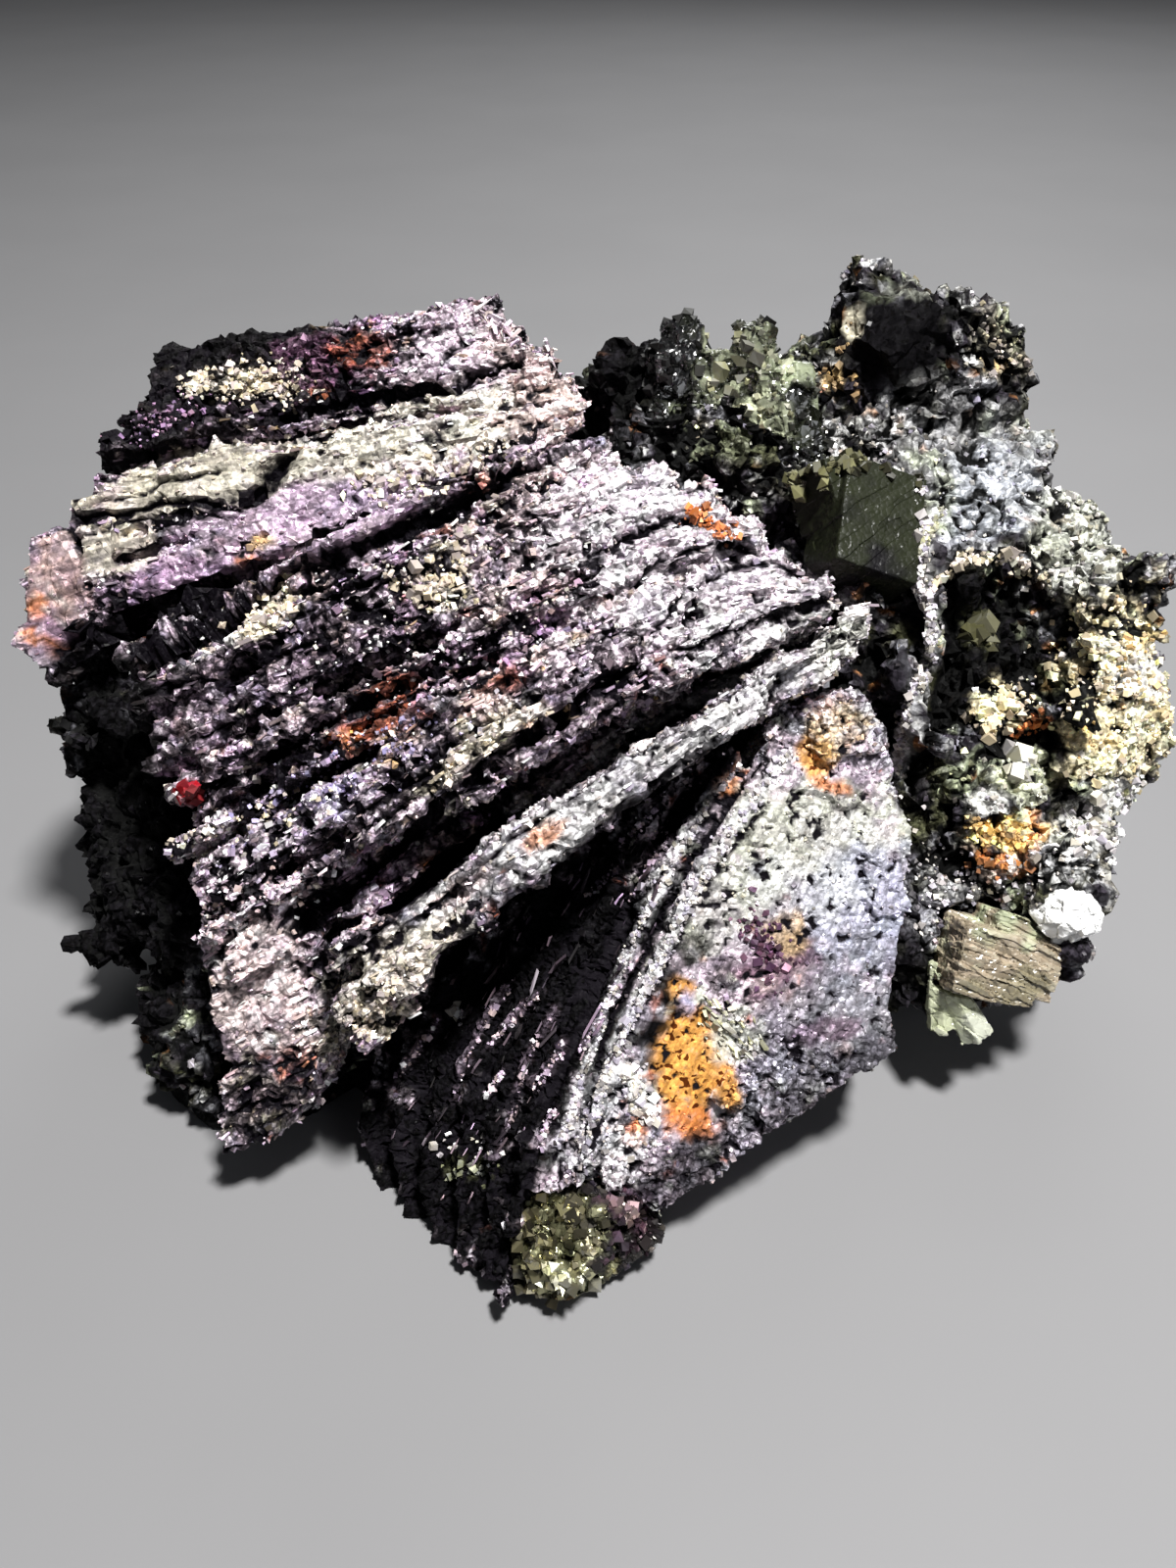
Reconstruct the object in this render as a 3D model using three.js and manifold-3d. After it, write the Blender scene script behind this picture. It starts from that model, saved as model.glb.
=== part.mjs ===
// A hand specimen of pyrrhotite on its sulphide matrix, in millimetres, +Z up.
// A thick crystal of stacked plates fans open to the left over a deep wedge-shaped hollow. Below the hollow
// a second crystal shows one broad face and the edges of its own plates. Both grew on a lump of sulphide
// rock, which carries a few crystals of other minerals on its right side and at the front.
// The whole is laid out on its show face, the side that leans back and looks at the viewer:
// a runs across that face, b runs up it and c stands out of it.
import * as THREE from "three";
import { mergeVertices } from "three/addons/utils/BufferGeometryUtils.js";
import Module from "manifold-3d";

const wasm = await Module();
wasm.setup();

// Driving dimensions
const faceLean = 52; // degrees from flat on its back to the way the show face leans
const faceHeight = 22.2; // from the surface up to the middle of the show face
const restCentre = { a: -2, y: 5 }; // middle of the flat spot, counted from below the middle of the show face
const seatGap = 0.3; // between a crystal and the rock that it sits in
const stackBack = { level: -11, slope: -0.2 }; // the main crystal's flat back: its height, and slope along b
const plateBack = -20; // how deep the plates of the main crystal go before its back is cut
const bladeBack = -9.5; // height of the lower crystal's flat back

// Steady random numbers, so that every build gives the same rock
function makeRandom(seed) {
  let state = seed;
  return (low = 0, high = 1) => {
    state = (state * 1664525 + 1013904223) % 4294967296;
    return low + ((high - low) * state) / 4294967296;
  };
}

// Solids
function toSolid(geometry) {
  const bare = geometry.clone();
  bare.deleteAttribute("normal");
  bare.deleteAttribute("uv");
  const merged = mergeVertices(bare, 1e-4);
  const mesh = new wasm.Mesh({
    numProp: 3,
    vertProperties: merged.getAttribute("position").array,
    triVerts: new Uint32Array(merged.index.array),
  });
  return new wasm.Manifold(mesh);
}

function toGeometry(solid) {
  const mesh = solid.getMesh();
  const points = new Float32Array(mesh.numVert * 3);
  for (let i = 0; i < mesh.numVert; i++) {
    points.set(mesh.vertProperties.subarray(i * mesh.numProp, i * mesh.numProp + 3), i * 3);
  }
  const geometry = new THREE.BufferGeometry();
  geometry.setAttribute("position", new THREE.BufferAttribute(points, 3));
  geometry.setIndex(new THREE.BufferAttribute(mesh.triVerts, 1));
  geometry.computeVertexNormals();
  return geometry;
}

const joinAll = (solids) => solids.reduce((whole, next) => whole.add(next));
const mix = (from, to, share) => from + (to - from) * share;
const mixPoint = (from, to, share) => from.map((value, i) => mix(value, to[i], share));

// The straight line through two points, as a function of the first coordinate
function lineThrough([a0, b0], [a1, b1]) {
  return (a) => b0 + ((b1 - b0) * (a - a0)) / (a1 - a0);
}

// A smooth curve through a left, a middle and a right value
const bow = ([left, middle, right], share) =>
  left * (1 - share) * (1 - 2 * share) + 4 * middle * share * (1 - share) + right * share * (2 * share - 1);

// A plate seen edge-on: an outline in a and c, between a low and a high line in b
function edgePlate(outline, lowLine, highLine) {
  const shape = new THREE.Shape(outline.map(([a, c]) => new THREE.Vector2(a, c)));
  const geometry = new THREE.ExtrudeGeometry(shape, { depth: 1, bevelEnabled: false });
  const position = geometry.getAttribute("position");
  for (let i = 0; i < position.count; i++) {
    const a = position.getX(i);
    const b = position.getZ(i) > 0.5 ? lowLine(a) : highLine(a);
    position.setXYZ(i, a, b, position.getY(i));
  }
  return toSolid(geometry);
}

// A plate seen face-on: an outline in a and b, between a low and a high surface in c
function facePlate(outline, lowSurface, highSurface) {
  const shape = new THREE.Shape(outline.map(([a, b]) => new THREE.Vector2(a, b)));
  const geometry = new THREE.ExtrudeGeometry(shape, { depth: 1, bevelEnabled: false });
  const position = geometry.getAttribute("position");
  for (let i = 0; i < position.count; i++) {
    const [a, b] = [position.getX(i), position.getY(i)];
    position.setZ(i, position.getZ(i) > 0.5 ? highSurface(a, b) : lowSurface(a, b));
  }
  return toSolid(geometry);
}

// A lump of broken rock: a ball knocked flat in places and stretched to its three half-widths
function lump({ centre, half, seed, detail = 2, rough = 0.1, grow = 0 }) {
  const random = makeRandom(seed);
  const ball = new THREE.IcosahedronGeometry(1, detail);
  ball.deleteAttribute("normal");
  ball.deleteAttribute("uv");
  const merged = mergeVertices(ball, 1e-4);
  const position = merged.getAttribute("position");
  const knocks = Array.from({ length: 9 }, () => ({
    way: new THREE.Vector3(random(-1, 1), random(-1, 1), random(-1, 1)).normalize(),
    depth: random(0.72, 0.93),
  }));
  const point = new THREE.Vector3();
  for (let i = 0; i < position.count; i++) {
    point.fromBufferAttribute(position, i);
    for (const { way, depth } of knocks) {
      const reach = point.dot(way);
      if (reach > depth) point.multiplyScalar(depth / reach);
    }
    point.multiplyScalar(1 + random(-rough, rough));
    const [a, b, c] = half.map((width) => width + grow);
    position.setXYZ(i, centre[0] + point.x * a, centre[1] + point.y * b, centre[2] + point.z * c);
  }
  return toSolid(merged);
}

// Turns a shape by three angles in degrees and moves it to its centre
function place(geometry, centre, turn) {
  const euler = new THREE.Euler(...turn.map(THREE.MathUtils.degToRad));
  geometry.applyMatrix4(new THREE.Matrix4().makeRotationFromEuler(euler));
  geometry.translate(...centre);
  return toSolid(geometry);
}

// A blocky crystal with its three sizes
function block({ centre, size, turn = [0, 0, 0], grow = 0 }) {
  return place(new THREE.BoxGeometry(...size.map((width) => width + 2 * grow)), centre, turn);
}

// A long crystal with flat sides, narrower at its free end
function prism({ centre, width, length, sides = 6, point = 0.6, turn = [0, 0, 0], grow = 0 }) {
  const radius = width / 2 + grow;
  const geometry = new THREE.CylinderGeometry(radius * point, radius, length + 2 * grow, sides);
  return place(geometry, centre, turn);
}

// Blocky crystals scattered over the side of a lump that faces one way
function scatter({ centre, half, facing, crystals }, seed) {
  const random = makeRandom(seed);
  const out = new THREE.Vector3(...facing).normalize();
  return Array.from({ length: crystals }, () => {
    const way = new THREE.Vector3(random(-1, 1), random(-1, 1), random(-1, 1)).normalize();
    way.addScaledVector(out, Math.max(0, -2 * way.dot(out)));
    const depth = random(0.82, 0.94);
    const at = [way.x, way.y, way.z].map((value, i) => centre[i] + value * half[i] * depth);
    const size = [random(3, 5.6), random(3, 5.6), random(3, 5.6)];
    return block({ centre: at, size, turn: [random(0, 90), random(0, 90), random(0, 90)] });
  });
}

// A slab of the main crystal, cut into plates by uneven lines that fan out from one end to the other.
// low and high are its lower and upper edge, each from a left to a right point in a and b; front gives the
// height of its face at the left, in the middle and at the right, along the lower and the upper edge.
function slab({ low, high, plates, front, gap, teeth, ragged, arch = 0, seed }) {
  const random = makeRandom(seed);
  const cuts = [0];
  for (let n = 0; n < plates; n++) {
    cuts.push(cuts[n] + random(0.6, 1.4));
  }
  const [start, stop] = [Math.min(low[0][0], high[0][0]), Math.max(low[1][0], high[1][0])];
  const swell = (a) => {
    const share = THREE.MathUtils.clamp((a - start) / (stop - start), 0, 1);
    return 4 * arch * share * (1 - share);
  };
  const lineAt = (share) => {
    const line = lineThrough(mixPoint(low[0], high[0], share), mixPoint(low[1], high[1], share));
    return (a) => line(a) + swell(a);
  };
  const made = [];
  for (let n = 0; n < plates; n++) {
    const [from, to] = [cuts[n] / cuts[plates], cuts[n + 1] / cuts[plates]];
    const ends = [0, 1].map((end) => mix(low[end][0], high[end][0], from));
    const left = ends[0] + random(-ragged, ragged);
    const right = ends[1] + random(-ragged, 0.3 * ragged);
    const step = random(-0.7, 0.7) * ragged;
    const outline = [[left + 1, plateBack], [right - 1, plateBack]];
    outline.push([right, mix(front.low[2], plateBack, 0.25)]);
    for (let tooth = 0; tooth < teeth; tooth++) {
      const share = 0.97 - tooth / teeth;
      const face = mix(bow(front.low, share), bow(front.high, share), from);
      const edge = face + step + random(-0.6, 0.6) * ragged;
      outline.push([mix(left, right, share), tooth === 0 ? edge - 1 : edge]);
      outline.push([mix(left, right, share - random(0.6, 0.85) / teeth), edge + random(-0.4, 0.4)]);
    }
    const faceLeft = mix(bow(front.low, 0), bow(front.high, 0), from);
    outline.push([left, faceLeft + step - random(1, 2)]);
    const slot = gap * random(0.5, 1);
    const [lowLine, highLine] = [lineAt(from), lineAt(to)];
    const open = (a) => 0.12 + slot * THREE.MathUtils.clamp((stop - a) / (stop - start), 0, 1);
    made.push(edgePlate(outline, lowLine, (a) => highLine(a) - open(a)));
  }
  return made;
}

// The main crystal: slabs of plates, a core that closes the gaps between them at depth, a knob and a foot
function makePyrrhotiteStack() {
  const slabs = [
    // dark crest behind the top
    {
      low: [[-31, 23.9], [-3, 26]], high: [[-29.5, 29], [-12, 32]], plates: 3, teeth: 3, seed: 11,
      front: { low: [-12, -12, -12], high: [-13.5, -13.5, -12.5] }, gap: 0.5, ragged: 0.9,
    },
    // highest slab, with the peak
    {
      low: [[-30.9, 20.2], [0, 24.1]], high: [[-29.3, 23.8], [-7.5, 31.3]], plates: 4, teeth: 4, seed: 21,
      front: { low: [-7, -6, -6], high: [-10, -9, -9] }, gap: 0.8, ragged: 1,
    },
    // upper slab, set back over the dark recess
    {
      low: [[-31.6, 8.5], [-0.6, 20.2]], high: [[-31.5, 19.4], [0, 24]], plates: 5, teeth: 5, seed: 31,
      front: { low: [-4, -2, -3], high: [-6.5, -5.5, -6] }, gap: 0.6, ragged: 0.9,
    },
    // the bulging middle, in two slabs
    {
      low: [[-24.1, 0.4], [9.4, 15]], high: [[-26, 8.1], [0, 19.2]], plates: 5, teeth: 5, seed: 41,
      front: { low: [0, 5, 1], high: [-1.5, 2, -1] }, gap: 0.5, ragged: 0.9, arch: 0.9,
    },
    {
      low: [[-21.6, -9.1], [15.1, 10.2]], high: [[-24.1, 0.2], [9.6, 14.9]], plates: 6, teeth: 5, seed: 51,
      front: { low: [0.5, 6.5, 2], high: [0, 5.5, 1.5] }, gap: 0.9, ragged: 0.9, arch: 0.9,
    },
    // lip over the hollow
    {
      low: [[-13.5, -13.5], [16.4, 8.6]], high: [[-14.3, -8.5], [15.8, 10.1]], plates: 3, teeth: 4, seed: 61,
      front: { low: [2, 7, 2], high: [2.5, 7, 2.5] }, gap: 0.4, ragged: 0.6,
    },
  ].flatMap(slab);
  const knob = facePlate(
    [[-33.6, 14.2], [-33.9, 8.2], [-32, 6.2], [-28, 8.6], [-28, 15.5], [-30.6, 15.8]],
    () => -11,
    (a) => -3.6 + 0.25 * (a + 31),
  );
  const foot = facePlate(
    [[-21.8, -5], [-21.4, -12], [-20.6, -16], [-21.2, -21.6], [-18, -20.4], [-15.4, -17.5], [-14.6, -12],
      [-14.4, -5]],
    () => -9,
    (a, b) => 1.6 + 0.22 * (b + 9),
  );
  const core = facePlate(
    [[-29, 11], [-28.5, 28.4], [-14, 31.2], [-8, 29.5], [-1.5, 23], [8, 14.5], [13, 10.4], [0, 1],
      [-12, -6.5], [-19.5, -11], [-20, -4], [-22, 3], [-24, 9]],
    () => plateBack,
    (a, b) => 0.5 - 0.36 * (b + 4),
  );
  const bridge = facePlate(
    [[13, 9.4], [0, -2], [-12, -10.6], [-15.5, -10.6], [-15.5, -7], [0, 2.4], [12, 11.4]],
    () => plateBack,
    () => -4.5,
  );
  // lumps that stand out of the middle's face, and a few single ones
  const random = makeRandom(81);
  const chunks = Array.from({ length: 9 }, () => {
    const [share, rise] = [random(0.02, 0.8), random(0, 1)];
    const a = mix(mix(-21.5, -25, rise), mix(15, 3, rise), share);
    const b = mix(mix(-8.5, 10, share), mix(7, 18, share), rise);
    const c = mix(bow([0.5, 6.5, 2], share), bow([-1.5, 2, -1], share), rise);
    const size = [random(2, 3.4), random(1.4, 2.2), random(2, 3)];
    return block({ centre: [a, b, c - 0.6], size, turn: [random(-25, 25), random(-25, 25), random(10, 50)] });
  });
  const lumps = [
    block({ centre: [-16.6, 10.2, -1.4], size: [5.2, 2.2, 3], turn: [0, 0, 32] }),
    block({ centre: [-11.8, -11.8, 2.2], size: [3.4, 3.4, 3], turn: [15, 20, 40] }),
    block({ centre: [-21.5, 25.6, -9], size: [2.4, 3.4, 3], turn: [10, 25, -20] }),
    block({ centre: [-3.4, 24.8, -6.8], size: [2.2, 3.8, 2.6], turn: [0, 20, -12] }),
    block({ centre: [-10.5, 28.6, -9.4], size: [4.4, 2.4, 3], turn: [20, 10, 12] }),
  ];
  return joinAll([...slabs, knob, foot, core, bridge, ...chunks, ...lumps]);
}

// The lower crystal: one broad face towards the viewer, with thinner plates stepping down to its left
function makePyrrhotiteBlades() {
  const face = (a, b) => 3.1 - 0.26 * a - 0.3 * Math.max(0, -21 - b);
  const broad = [
    [11.1, 4.4], [15.4, 5.2], [17.2, 0.2], [19, -2.6], [18.6, -6.2], [17.4, -12.8], [18, -15.4],
    [13.6, -17.8], [8.2, -21], [4.8, -23.4], [0.8, -27.8], [-1.4, -28.6], [-3.2, -27], [-0.6, -21],
    [0.2, -16.6], [2.6, -12.6], [4.1, -8.6], [6.6, -3.2], [9.4, 1.2],
  ];
  const made = [facePlate(broad, () => bladeBack, face)];
  const random = makeRandom(71);
  for (let n = 1; n <= 6; n++) {
    const shift = -2.1 * n + random(-0.4, 0.4);
    const outline = [
      [9.5 + shift * 0.5, 3.2], [12, -12], [3, -20], [-0.5 + shift * 0.3, -29],
      [-3 + shift * 0.75, -29 + 0.7 * n],
      [-1.4 + shift, -21 + random(-1, 1)], [-0.4 + shift, -15.8], [2.3 + shift, -11.4 + random(-1, 1)],
      [4.2 + shift * 0.9, -7.6], [6.4 + shift * 0.8, -3 + random(-1, 1)],
    ];
    const top = (a, b) => 2.7 - 0.16 * a - 1.9 * n + 0.3 * THREE.MathUtils.clamp(-15 - b, 0, 7);
    made.push(facePlate(outline, () => bladeBack, (a, b) => Math.max(top(a, b), bladeBack + 0.4)));
  }
  const ledges = [
    block({ centre: [8.6, -16.2, 0.9], size: [3.4, 1.6, 1.2], turn: [0, 14, 55] }),
    block({ centre: [10.6, -18.2, 0.4], size: [2.6, 1.4, 1.4], turn: [0, 14, 30] }),
    block({ centre: [14.2, 3, -0.8], size: [3.4, 2.4, 1.8], turn: [0, 14, 20] }),
    block({ centre: [17, -5.2, -1.6], size: [2.4, 4.4, 1.4], turn: [0, 14, 8] }),
  ];
  return joinAll([...made, ...ledges]);
}

// The rock that everything grew on: overlapping lumps, with blocky crystals where they face outwards
function makeMatrix() {
  const parts = [
    { centre: [-5, -5, -17], half: [23, 17, 9], detail: 1, facing: [0, -1, 0], crystals: 0 },
    { centre: [-5, -16, -15], half: [16, 11, 7], detail: 1, facing: [0, -1, 0], crystals: 0 },
    { centre: [1, -4, -21.5], half: [22, 12, 8], detail: 1, facing: [0.1, 0.4, -1], crystals: 3 },
    { centre: [10, -6, -17], half: [16, 13, 9], detail: 1, facing: [0.5, -0.8, -0.6], crystals: 2 },
    { centre: [-24, -3, -13], half: [10.5, 12, 8], facing: [-1, 0, -0.2], detail: 1, crystals: 7 },
    { centre: [-20.5, -14, -11], half: [9, 9, 7], detail: 1, facing: [-0.8, -0.4, 0], crystals: 3 },
    { centre: [-12, 13, -17], half: [18, 13, 7.5], detail: 1, facing: [-0.3, 0.6, -0.8], crystals: 8 },
    { centre: [23.5, 9, -16.5], half: [14.5, 17.5, 9.5], facing: [0.4, 0.1, 1], crystals: 9 },
    { centre: [22, 9, -17.5], half: [15, 16, 9], detail: 1, facing: [0.6, 0.2, -1], crystals: 5 },
    { centre: [9, 21.5, -18], half: [12, 9.5, 6.5], detail: 1, facing: [0, 1, 0], crystals: 3 },
    { centre: [23, 28, -18], half: [8.5, 7, 6], detail: 1, facing: [0.2, 1, 0.2], crystals: 4 },
    { centre: [31, 6, -14], half: [7, 11, 7.5], detail: 1, facing: [0.9, 0, 0.4], crystals: 7 },
    { centre: [26.5, -5, -13], half: [8.5, 8, 7], detail: 1, facing: [0.6, -0.6, 0.1], crystals: 4 },
    { centre: [20.5, -8.5, -12], half: [7, 7, 6], facing: [0, -1, 0], detail: 1, crystals: 0 },
  ];
  const solids = parts.flatMap((part, i) => [lump({ ...part, seed: 101 + i }), ...scatter(part, 201 + i)]);
  solids.push(
    block({ centre: [21.6, 29.4, -17], size: [8.4, 7.6, 8], turn: [12, -14, -6] }),
    block({ centre: [16.6, 28.6, -17.5], size: [3.6, 5, 5], turn: [20, 10, 25] }),
    block({ centre: [27.2, 29, -15.5], size: [4.6, 5, 5], turn: [30, 20, 10] }),
    block({ centre: [4.6, 28.4, -18], size: [5, 5, 5], turn: [10, 30, 20] }),
    block({ centre: [21.2, 11.6, -8.6], size: [1.2, 7, 3.4], turn: [0, 10, -4] }),
    block({ centre: [20.2, 5.2, -8], size: [1.3, 7, 3.6], turn: [0, 0, 18] }),
    block({ centre: [25.8, 13.4, -8.4], size: [6.4, 1.4, 3.4], turn: [0, 0, 8] }),
  );
  return joinAll(solids);
}

// Small crystals of the other minerals. Each can grow, to cut the pocket that it sits in
function quartz(grow) {
  return lump({ centre: [29.1, -7.8, -5.4], half: [2, 1.9, 2.4], seed: 301, detail: 1, grow });
}

function siderite(grow) {
  return joinAll([
    block({ centre: [25.2, -10.6, -6.4], size: [6.6, 3.6, 3.4], turn: [12, 8, -14], grow }),
    block({ centre: [24.4, -11.6, -6], size: [5.4, 2.6, 3], turn: [12, 8, -14], grow }),
    block({ centre: [26.2, -9.6, -6.6], size: [4.6, 3, 3.2], turn: [4, 12, -20], grow }),
  ]);
}

function calciteBlades(grow) {
  return joinAll([
    prism({ centre: [22.8, -13.4, -6.2], width: 2.4, length: 5, turn: [20, 0, 28], point: 0.5, grow }),
    prism({ centre: [21.6, -13, -6.6], width: 2, length: 4.4, turn: [10, 0, 8], point: 0.5, grow }),
  ]);
}

function sphalerite(grow) {
  return joinAll([
    block({ centre: [17.6, 16, -9.6], size: [5.6, 7.4, 5], turn: [-14, 18, -10], grow }),
    block({ centre: [15.6, 18.6, -10], size: [3.2, 4, 4], turn: [-8, 30, 20], grow }),
  ]);
}

function sphaleriteCluster(grow) {
  const random = makeRandom(311);
  return joinAll(Array.from({ length: 6 }, (_, n) => {
    const centre = [5.4 + 1.7 * n + random(-0.5, 0.5), 26.2 + random(-1.6, 1.6), -14.2];
    const [width, length] = [random(3.2, 4.4), random(6, 9)];
    const turn = [random(10, 35), random(-40, 40), random(-16, 16)];
    return prism({ centre, width, length, sides: 4, point: 0.8, turn, grow });
  }));
}

// The lowest tip of the lower crystal gives way to pyrite, cut off along this outline in a and b
const tip = [[-4.6, -40], [-4.4, -25.5], [-3.2, -22], [0.4, -21.6], [2.6, -23.2], [5.2, -25], [9, -40]];
const tipInside = [
  [-3.9, -27.6], [-4, -25.4], [-2.9, -22.4], [0.2, -22], [2.4, -23.7], [4.4, -25.1], [0.8, -28],
  [-1.4, -28.8],
];

function makePyriteCluster() {
  const random = makeRandom(321);
  const cubes = Array.from({ length: 9 }, (_, n) => {
    const share = n / 8;
    const [a, b] = [mix(0.9, -1.8, share) + random(-1.2, 1.2), mix(-23.2, -27.2, share) + random(-0.6, 0.6)];
    const side = random(1.8, 3);
    const turn = [random(0, 90), random(0, 90), random(0, 90)];
    return block({ centre: [a, b, random(0.8, 2)], size: [side, side, side], turn });
  });
  const room = facePlate(tipInside, () => -60, () => 60);
  const base = facePlate(tipInside, () => -8, () => 1.4);
  return joinAll([base, ...cubes]).intersect(room);
}

// Where the two big crystals sit: the rock stays out of these outlines, in a and b, in front of their backs
const stackSeat = [
  [-34.6, 5.4], [-35.2, 16.4], [-32.8, 17.4], [-32.6, 30.4], [-11.4, 34.8], [-5.8, 32.8], [1.6, 25],
  [1.4, 21.6], [10.8, 17.2], [16.8, 11.8], [17.6, 8.4], [14.4, 6.3], [-13.4, -14.6], [-14.6, -18],
  [-18, -21.6], [-23, -23], [-22.4, -12], [-23.4, -8], [-25.6, -1], [-27.6, 7.2],
];
const bladeSeat = [
  [16.4, 6.2], [17.9, 0.6], [19.6, -2.6], [19.2, -6.2], [18, -12.7], [18.8, -15.8], [13.9, -18.5],
  [8.5, -21.9], [5.1, -24.7], [1.2, -29.2], [-1.6, -31], [-5, -31], [-13.6, -26], [-15.2, -21],
  [-14.4, -15.5], [-11.6, -10.6], [-8.6, -7], [-5, -2.2], [2, 4], [11, 5.6],
];

// Cuts: what lies behind the main crystal's back, and what lies above the underside of its lip
const stackBackAt = (a, b) => stackBack.level + stackBack.slope * b;
const behindStack = facePlate([[-60, -60], [60, -60], [60, 60], [-60, 60]], () => -60, stackBackAt);
const overBlades = facePlate([[-40, -33.1], [40, 26], [40, 60], [-40, 60]], () => -60, () => 60);

// The show face leans back over the flat spot, and the floor cuts everything off at its height
const showFace = new THREE.Group();
showFace.rotation.x = THREE.MathUtils.degToRad(faceLean);
showFace.position.set(-restCentre.a, -restCentre.y, faceHeight);
showFace.updateMatrix();
const floorBox = new THREE.BoxGeometry(160, 160, 60).translate(0, 0, -30);
const floor = toSolid(floorBox.applyMatrix4(showFace.matrix.clone().invert()));

const crystals = {
  quartz_crystal: { make: quartz, colour: 0xdcdcd6, roughness: 0.35, metalness: 0 },
  siderite_crystal: { make: siderite, colour: 0x8f7f5e, roughness: 0.4, metalness: 0 },
  calcite_blades: { make: calciteBlades, colour: 0xc9cf9f, roughness: 0.35, metalness: 0 },
  sphalerite_crystal: { make: sphalerite, colour: 0x3a3f26, roughness: 0.3, metalness: 0.1 },
  sphalerite_cluster: { make: sphaleriteCluster, colour: 0x6d7650, roughness: 0.3, metalness: 0.1 },
};
// The rock makes room for the small crystals one after the other, with a gap around each
const hollow = lump({ centre: [27.6, 9.4, -6.6], half: [4.4, 5.4, 4.6], seed: 331, detail: 1 });
const stackRoom = facePlate(stackSeat, (a, b) => stackBackAt(a, b) - seatGap, () => 60);
const bladeRoom = facePlate(bladeSeat, () => bladeBack - seatGap, () => 60);
let taken = joinAll([stackRoom, bladeRoom, floor]);
for (const crystal of Object.values(crystals)) {
  crystal.solid = crystal.make(0).subtract(taken);
  taken = taken.add(crystal.make(seatGap));
}

const pyrrhotiteStack = makePyrrhotiteStack().subtract(behindStack).subtract(floor);
const tipRoom = facePlate(tip, () => -60, () => 60);
const pyrrhotiteBlades = makePyrrhotiteBlades().subtract(joinAll([overBlades, tipRoom, floor]));
const pyriteCluster = makePyriteCluster().subtract(floor);
const matrix = makeMatrix().subtract(hollow).subtract(taken);

// The parts, each in its own named mesh
function addPart(name, solid, { colour, roughness, metalness }) {
  const material = new THREE.MeshStandardMaterial({ color: colour, roughness, metalness });
  const mesh = new THREE.Mesh(toGeometry(solid), material);
  mesh.name = name;
  showFace.add(mesh);
}
addPart("pyrrhotite_stack", pyrrhotiteStack, { colour: 0x8a8078, roughness: 0.45, metalness: 0.7 });
addPart("pyrrhotite_blades", pyrrhotiteBlades, { colour: 0x8c8a86, roughness: 0.45, metalness: 0.7 });
addPart("sulphide_matrix", matrix, { colour: 0x5d5a52, roughness: 0.55, metalness: 0.5 });
addPart("pyrite_cluster", pyriteCluster, { colour: 0xa79b52, roughness: 0.3, metalness: 0.8 });
for (const [name, crystal] of Object.entries(crystals)) {
  addPart(name, crystal.solid, crystal);
}

const specimen = new THREE.Group();
specimen.name = "pyrrhotite_specimen";
specimen.add(showFace);

export default specimen;
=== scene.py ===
import math

import bpy
import numpy as np
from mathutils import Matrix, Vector, bvhtree, kdtree


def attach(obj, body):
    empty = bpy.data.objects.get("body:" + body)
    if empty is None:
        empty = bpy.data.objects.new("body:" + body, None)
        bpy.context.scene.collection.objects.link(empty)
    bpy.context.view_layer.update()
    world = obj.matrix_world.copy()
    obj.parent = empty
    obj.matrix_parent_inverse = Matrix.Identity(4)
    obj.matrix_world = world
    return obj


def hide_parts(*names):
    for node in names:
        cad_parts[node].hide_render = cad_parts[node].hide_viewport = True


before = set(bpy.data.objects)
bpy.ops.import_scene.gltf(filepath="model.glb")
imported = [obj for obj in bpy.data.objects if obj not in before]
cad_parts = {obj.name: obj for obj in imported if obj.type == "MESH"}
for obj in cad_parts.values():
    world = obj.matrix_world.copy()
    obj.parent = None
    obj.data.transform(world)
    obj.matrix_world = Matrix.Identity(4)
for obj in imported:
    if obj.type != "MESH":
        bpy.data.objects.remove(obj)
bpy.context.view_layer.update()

mm = 0.001
print("frame loaded:", len(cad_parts), "nodes")

# The show face leans back. On it a runs across, b runs up and c stands out, in millimetres.
showFace = {"lean": 52, "height": 22.2, "across": 2, "back": -5}
# The picture is 1200 by 1600 pixels. Its focal length is 1300, and the eye is 72 mm off the face.
picture = {"middleX": 600, "middleY": 800, "focal": 1300, "eye": 72}
leanSin = math.sin(math.radians(showFace["lean"]))
leanCos = math.cos(math.radians(showFace["lean"]))


def toShow(points):  # metres in the frame to millimetres on the show face
    x, y, z = (np.asarray(points) / mm).T
    y = y - showFace["back"]
    z = z - showFace["height"]
    return np.stack([x - showFace["across"], leanCos * y + leanSin * z, leanCos * z - leanSin * y], 1)


def toPicture(shown):  # millimetres on the show face to pixels
    pace = picture["focal"] / (picture["eye"] - shown[:, 2])
    return np.stack([picture["middleX"] + shown[:, 0] * pace, picture["middleY"] - shown[:, 1] * pace], 1)


def facing(points, normals):  # 1 where a surface looks at the camera, -1 where it looks away
    eye = np.array([showFace["across"], showFace["back"], showFace["height"]]) * mm
    eye = eye + np.array([0, -leanSin, leanCos]) * picture["eye"] * mm
    toEye = eye - points
    toEye /= np.linalg.norm(toEye, axis=1, keepdims=True)
    return (toEye * normals).sum(1)


def ease(low, high, values):
    t = np.clip((values - low) / (high - low), 0, 1)
    return t * t * (3 - 2 * t)


# Noise for shapes: the same numbers come out of the same places on every run.
stirring = {"axes": (73856093, 19349663, 83492791), "seed": 2654435761, "wrap": 4294967291,
            "rounds": (1274126177, 2246822519)}  # large primes and odd numbers that mix a cell's place


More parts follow.
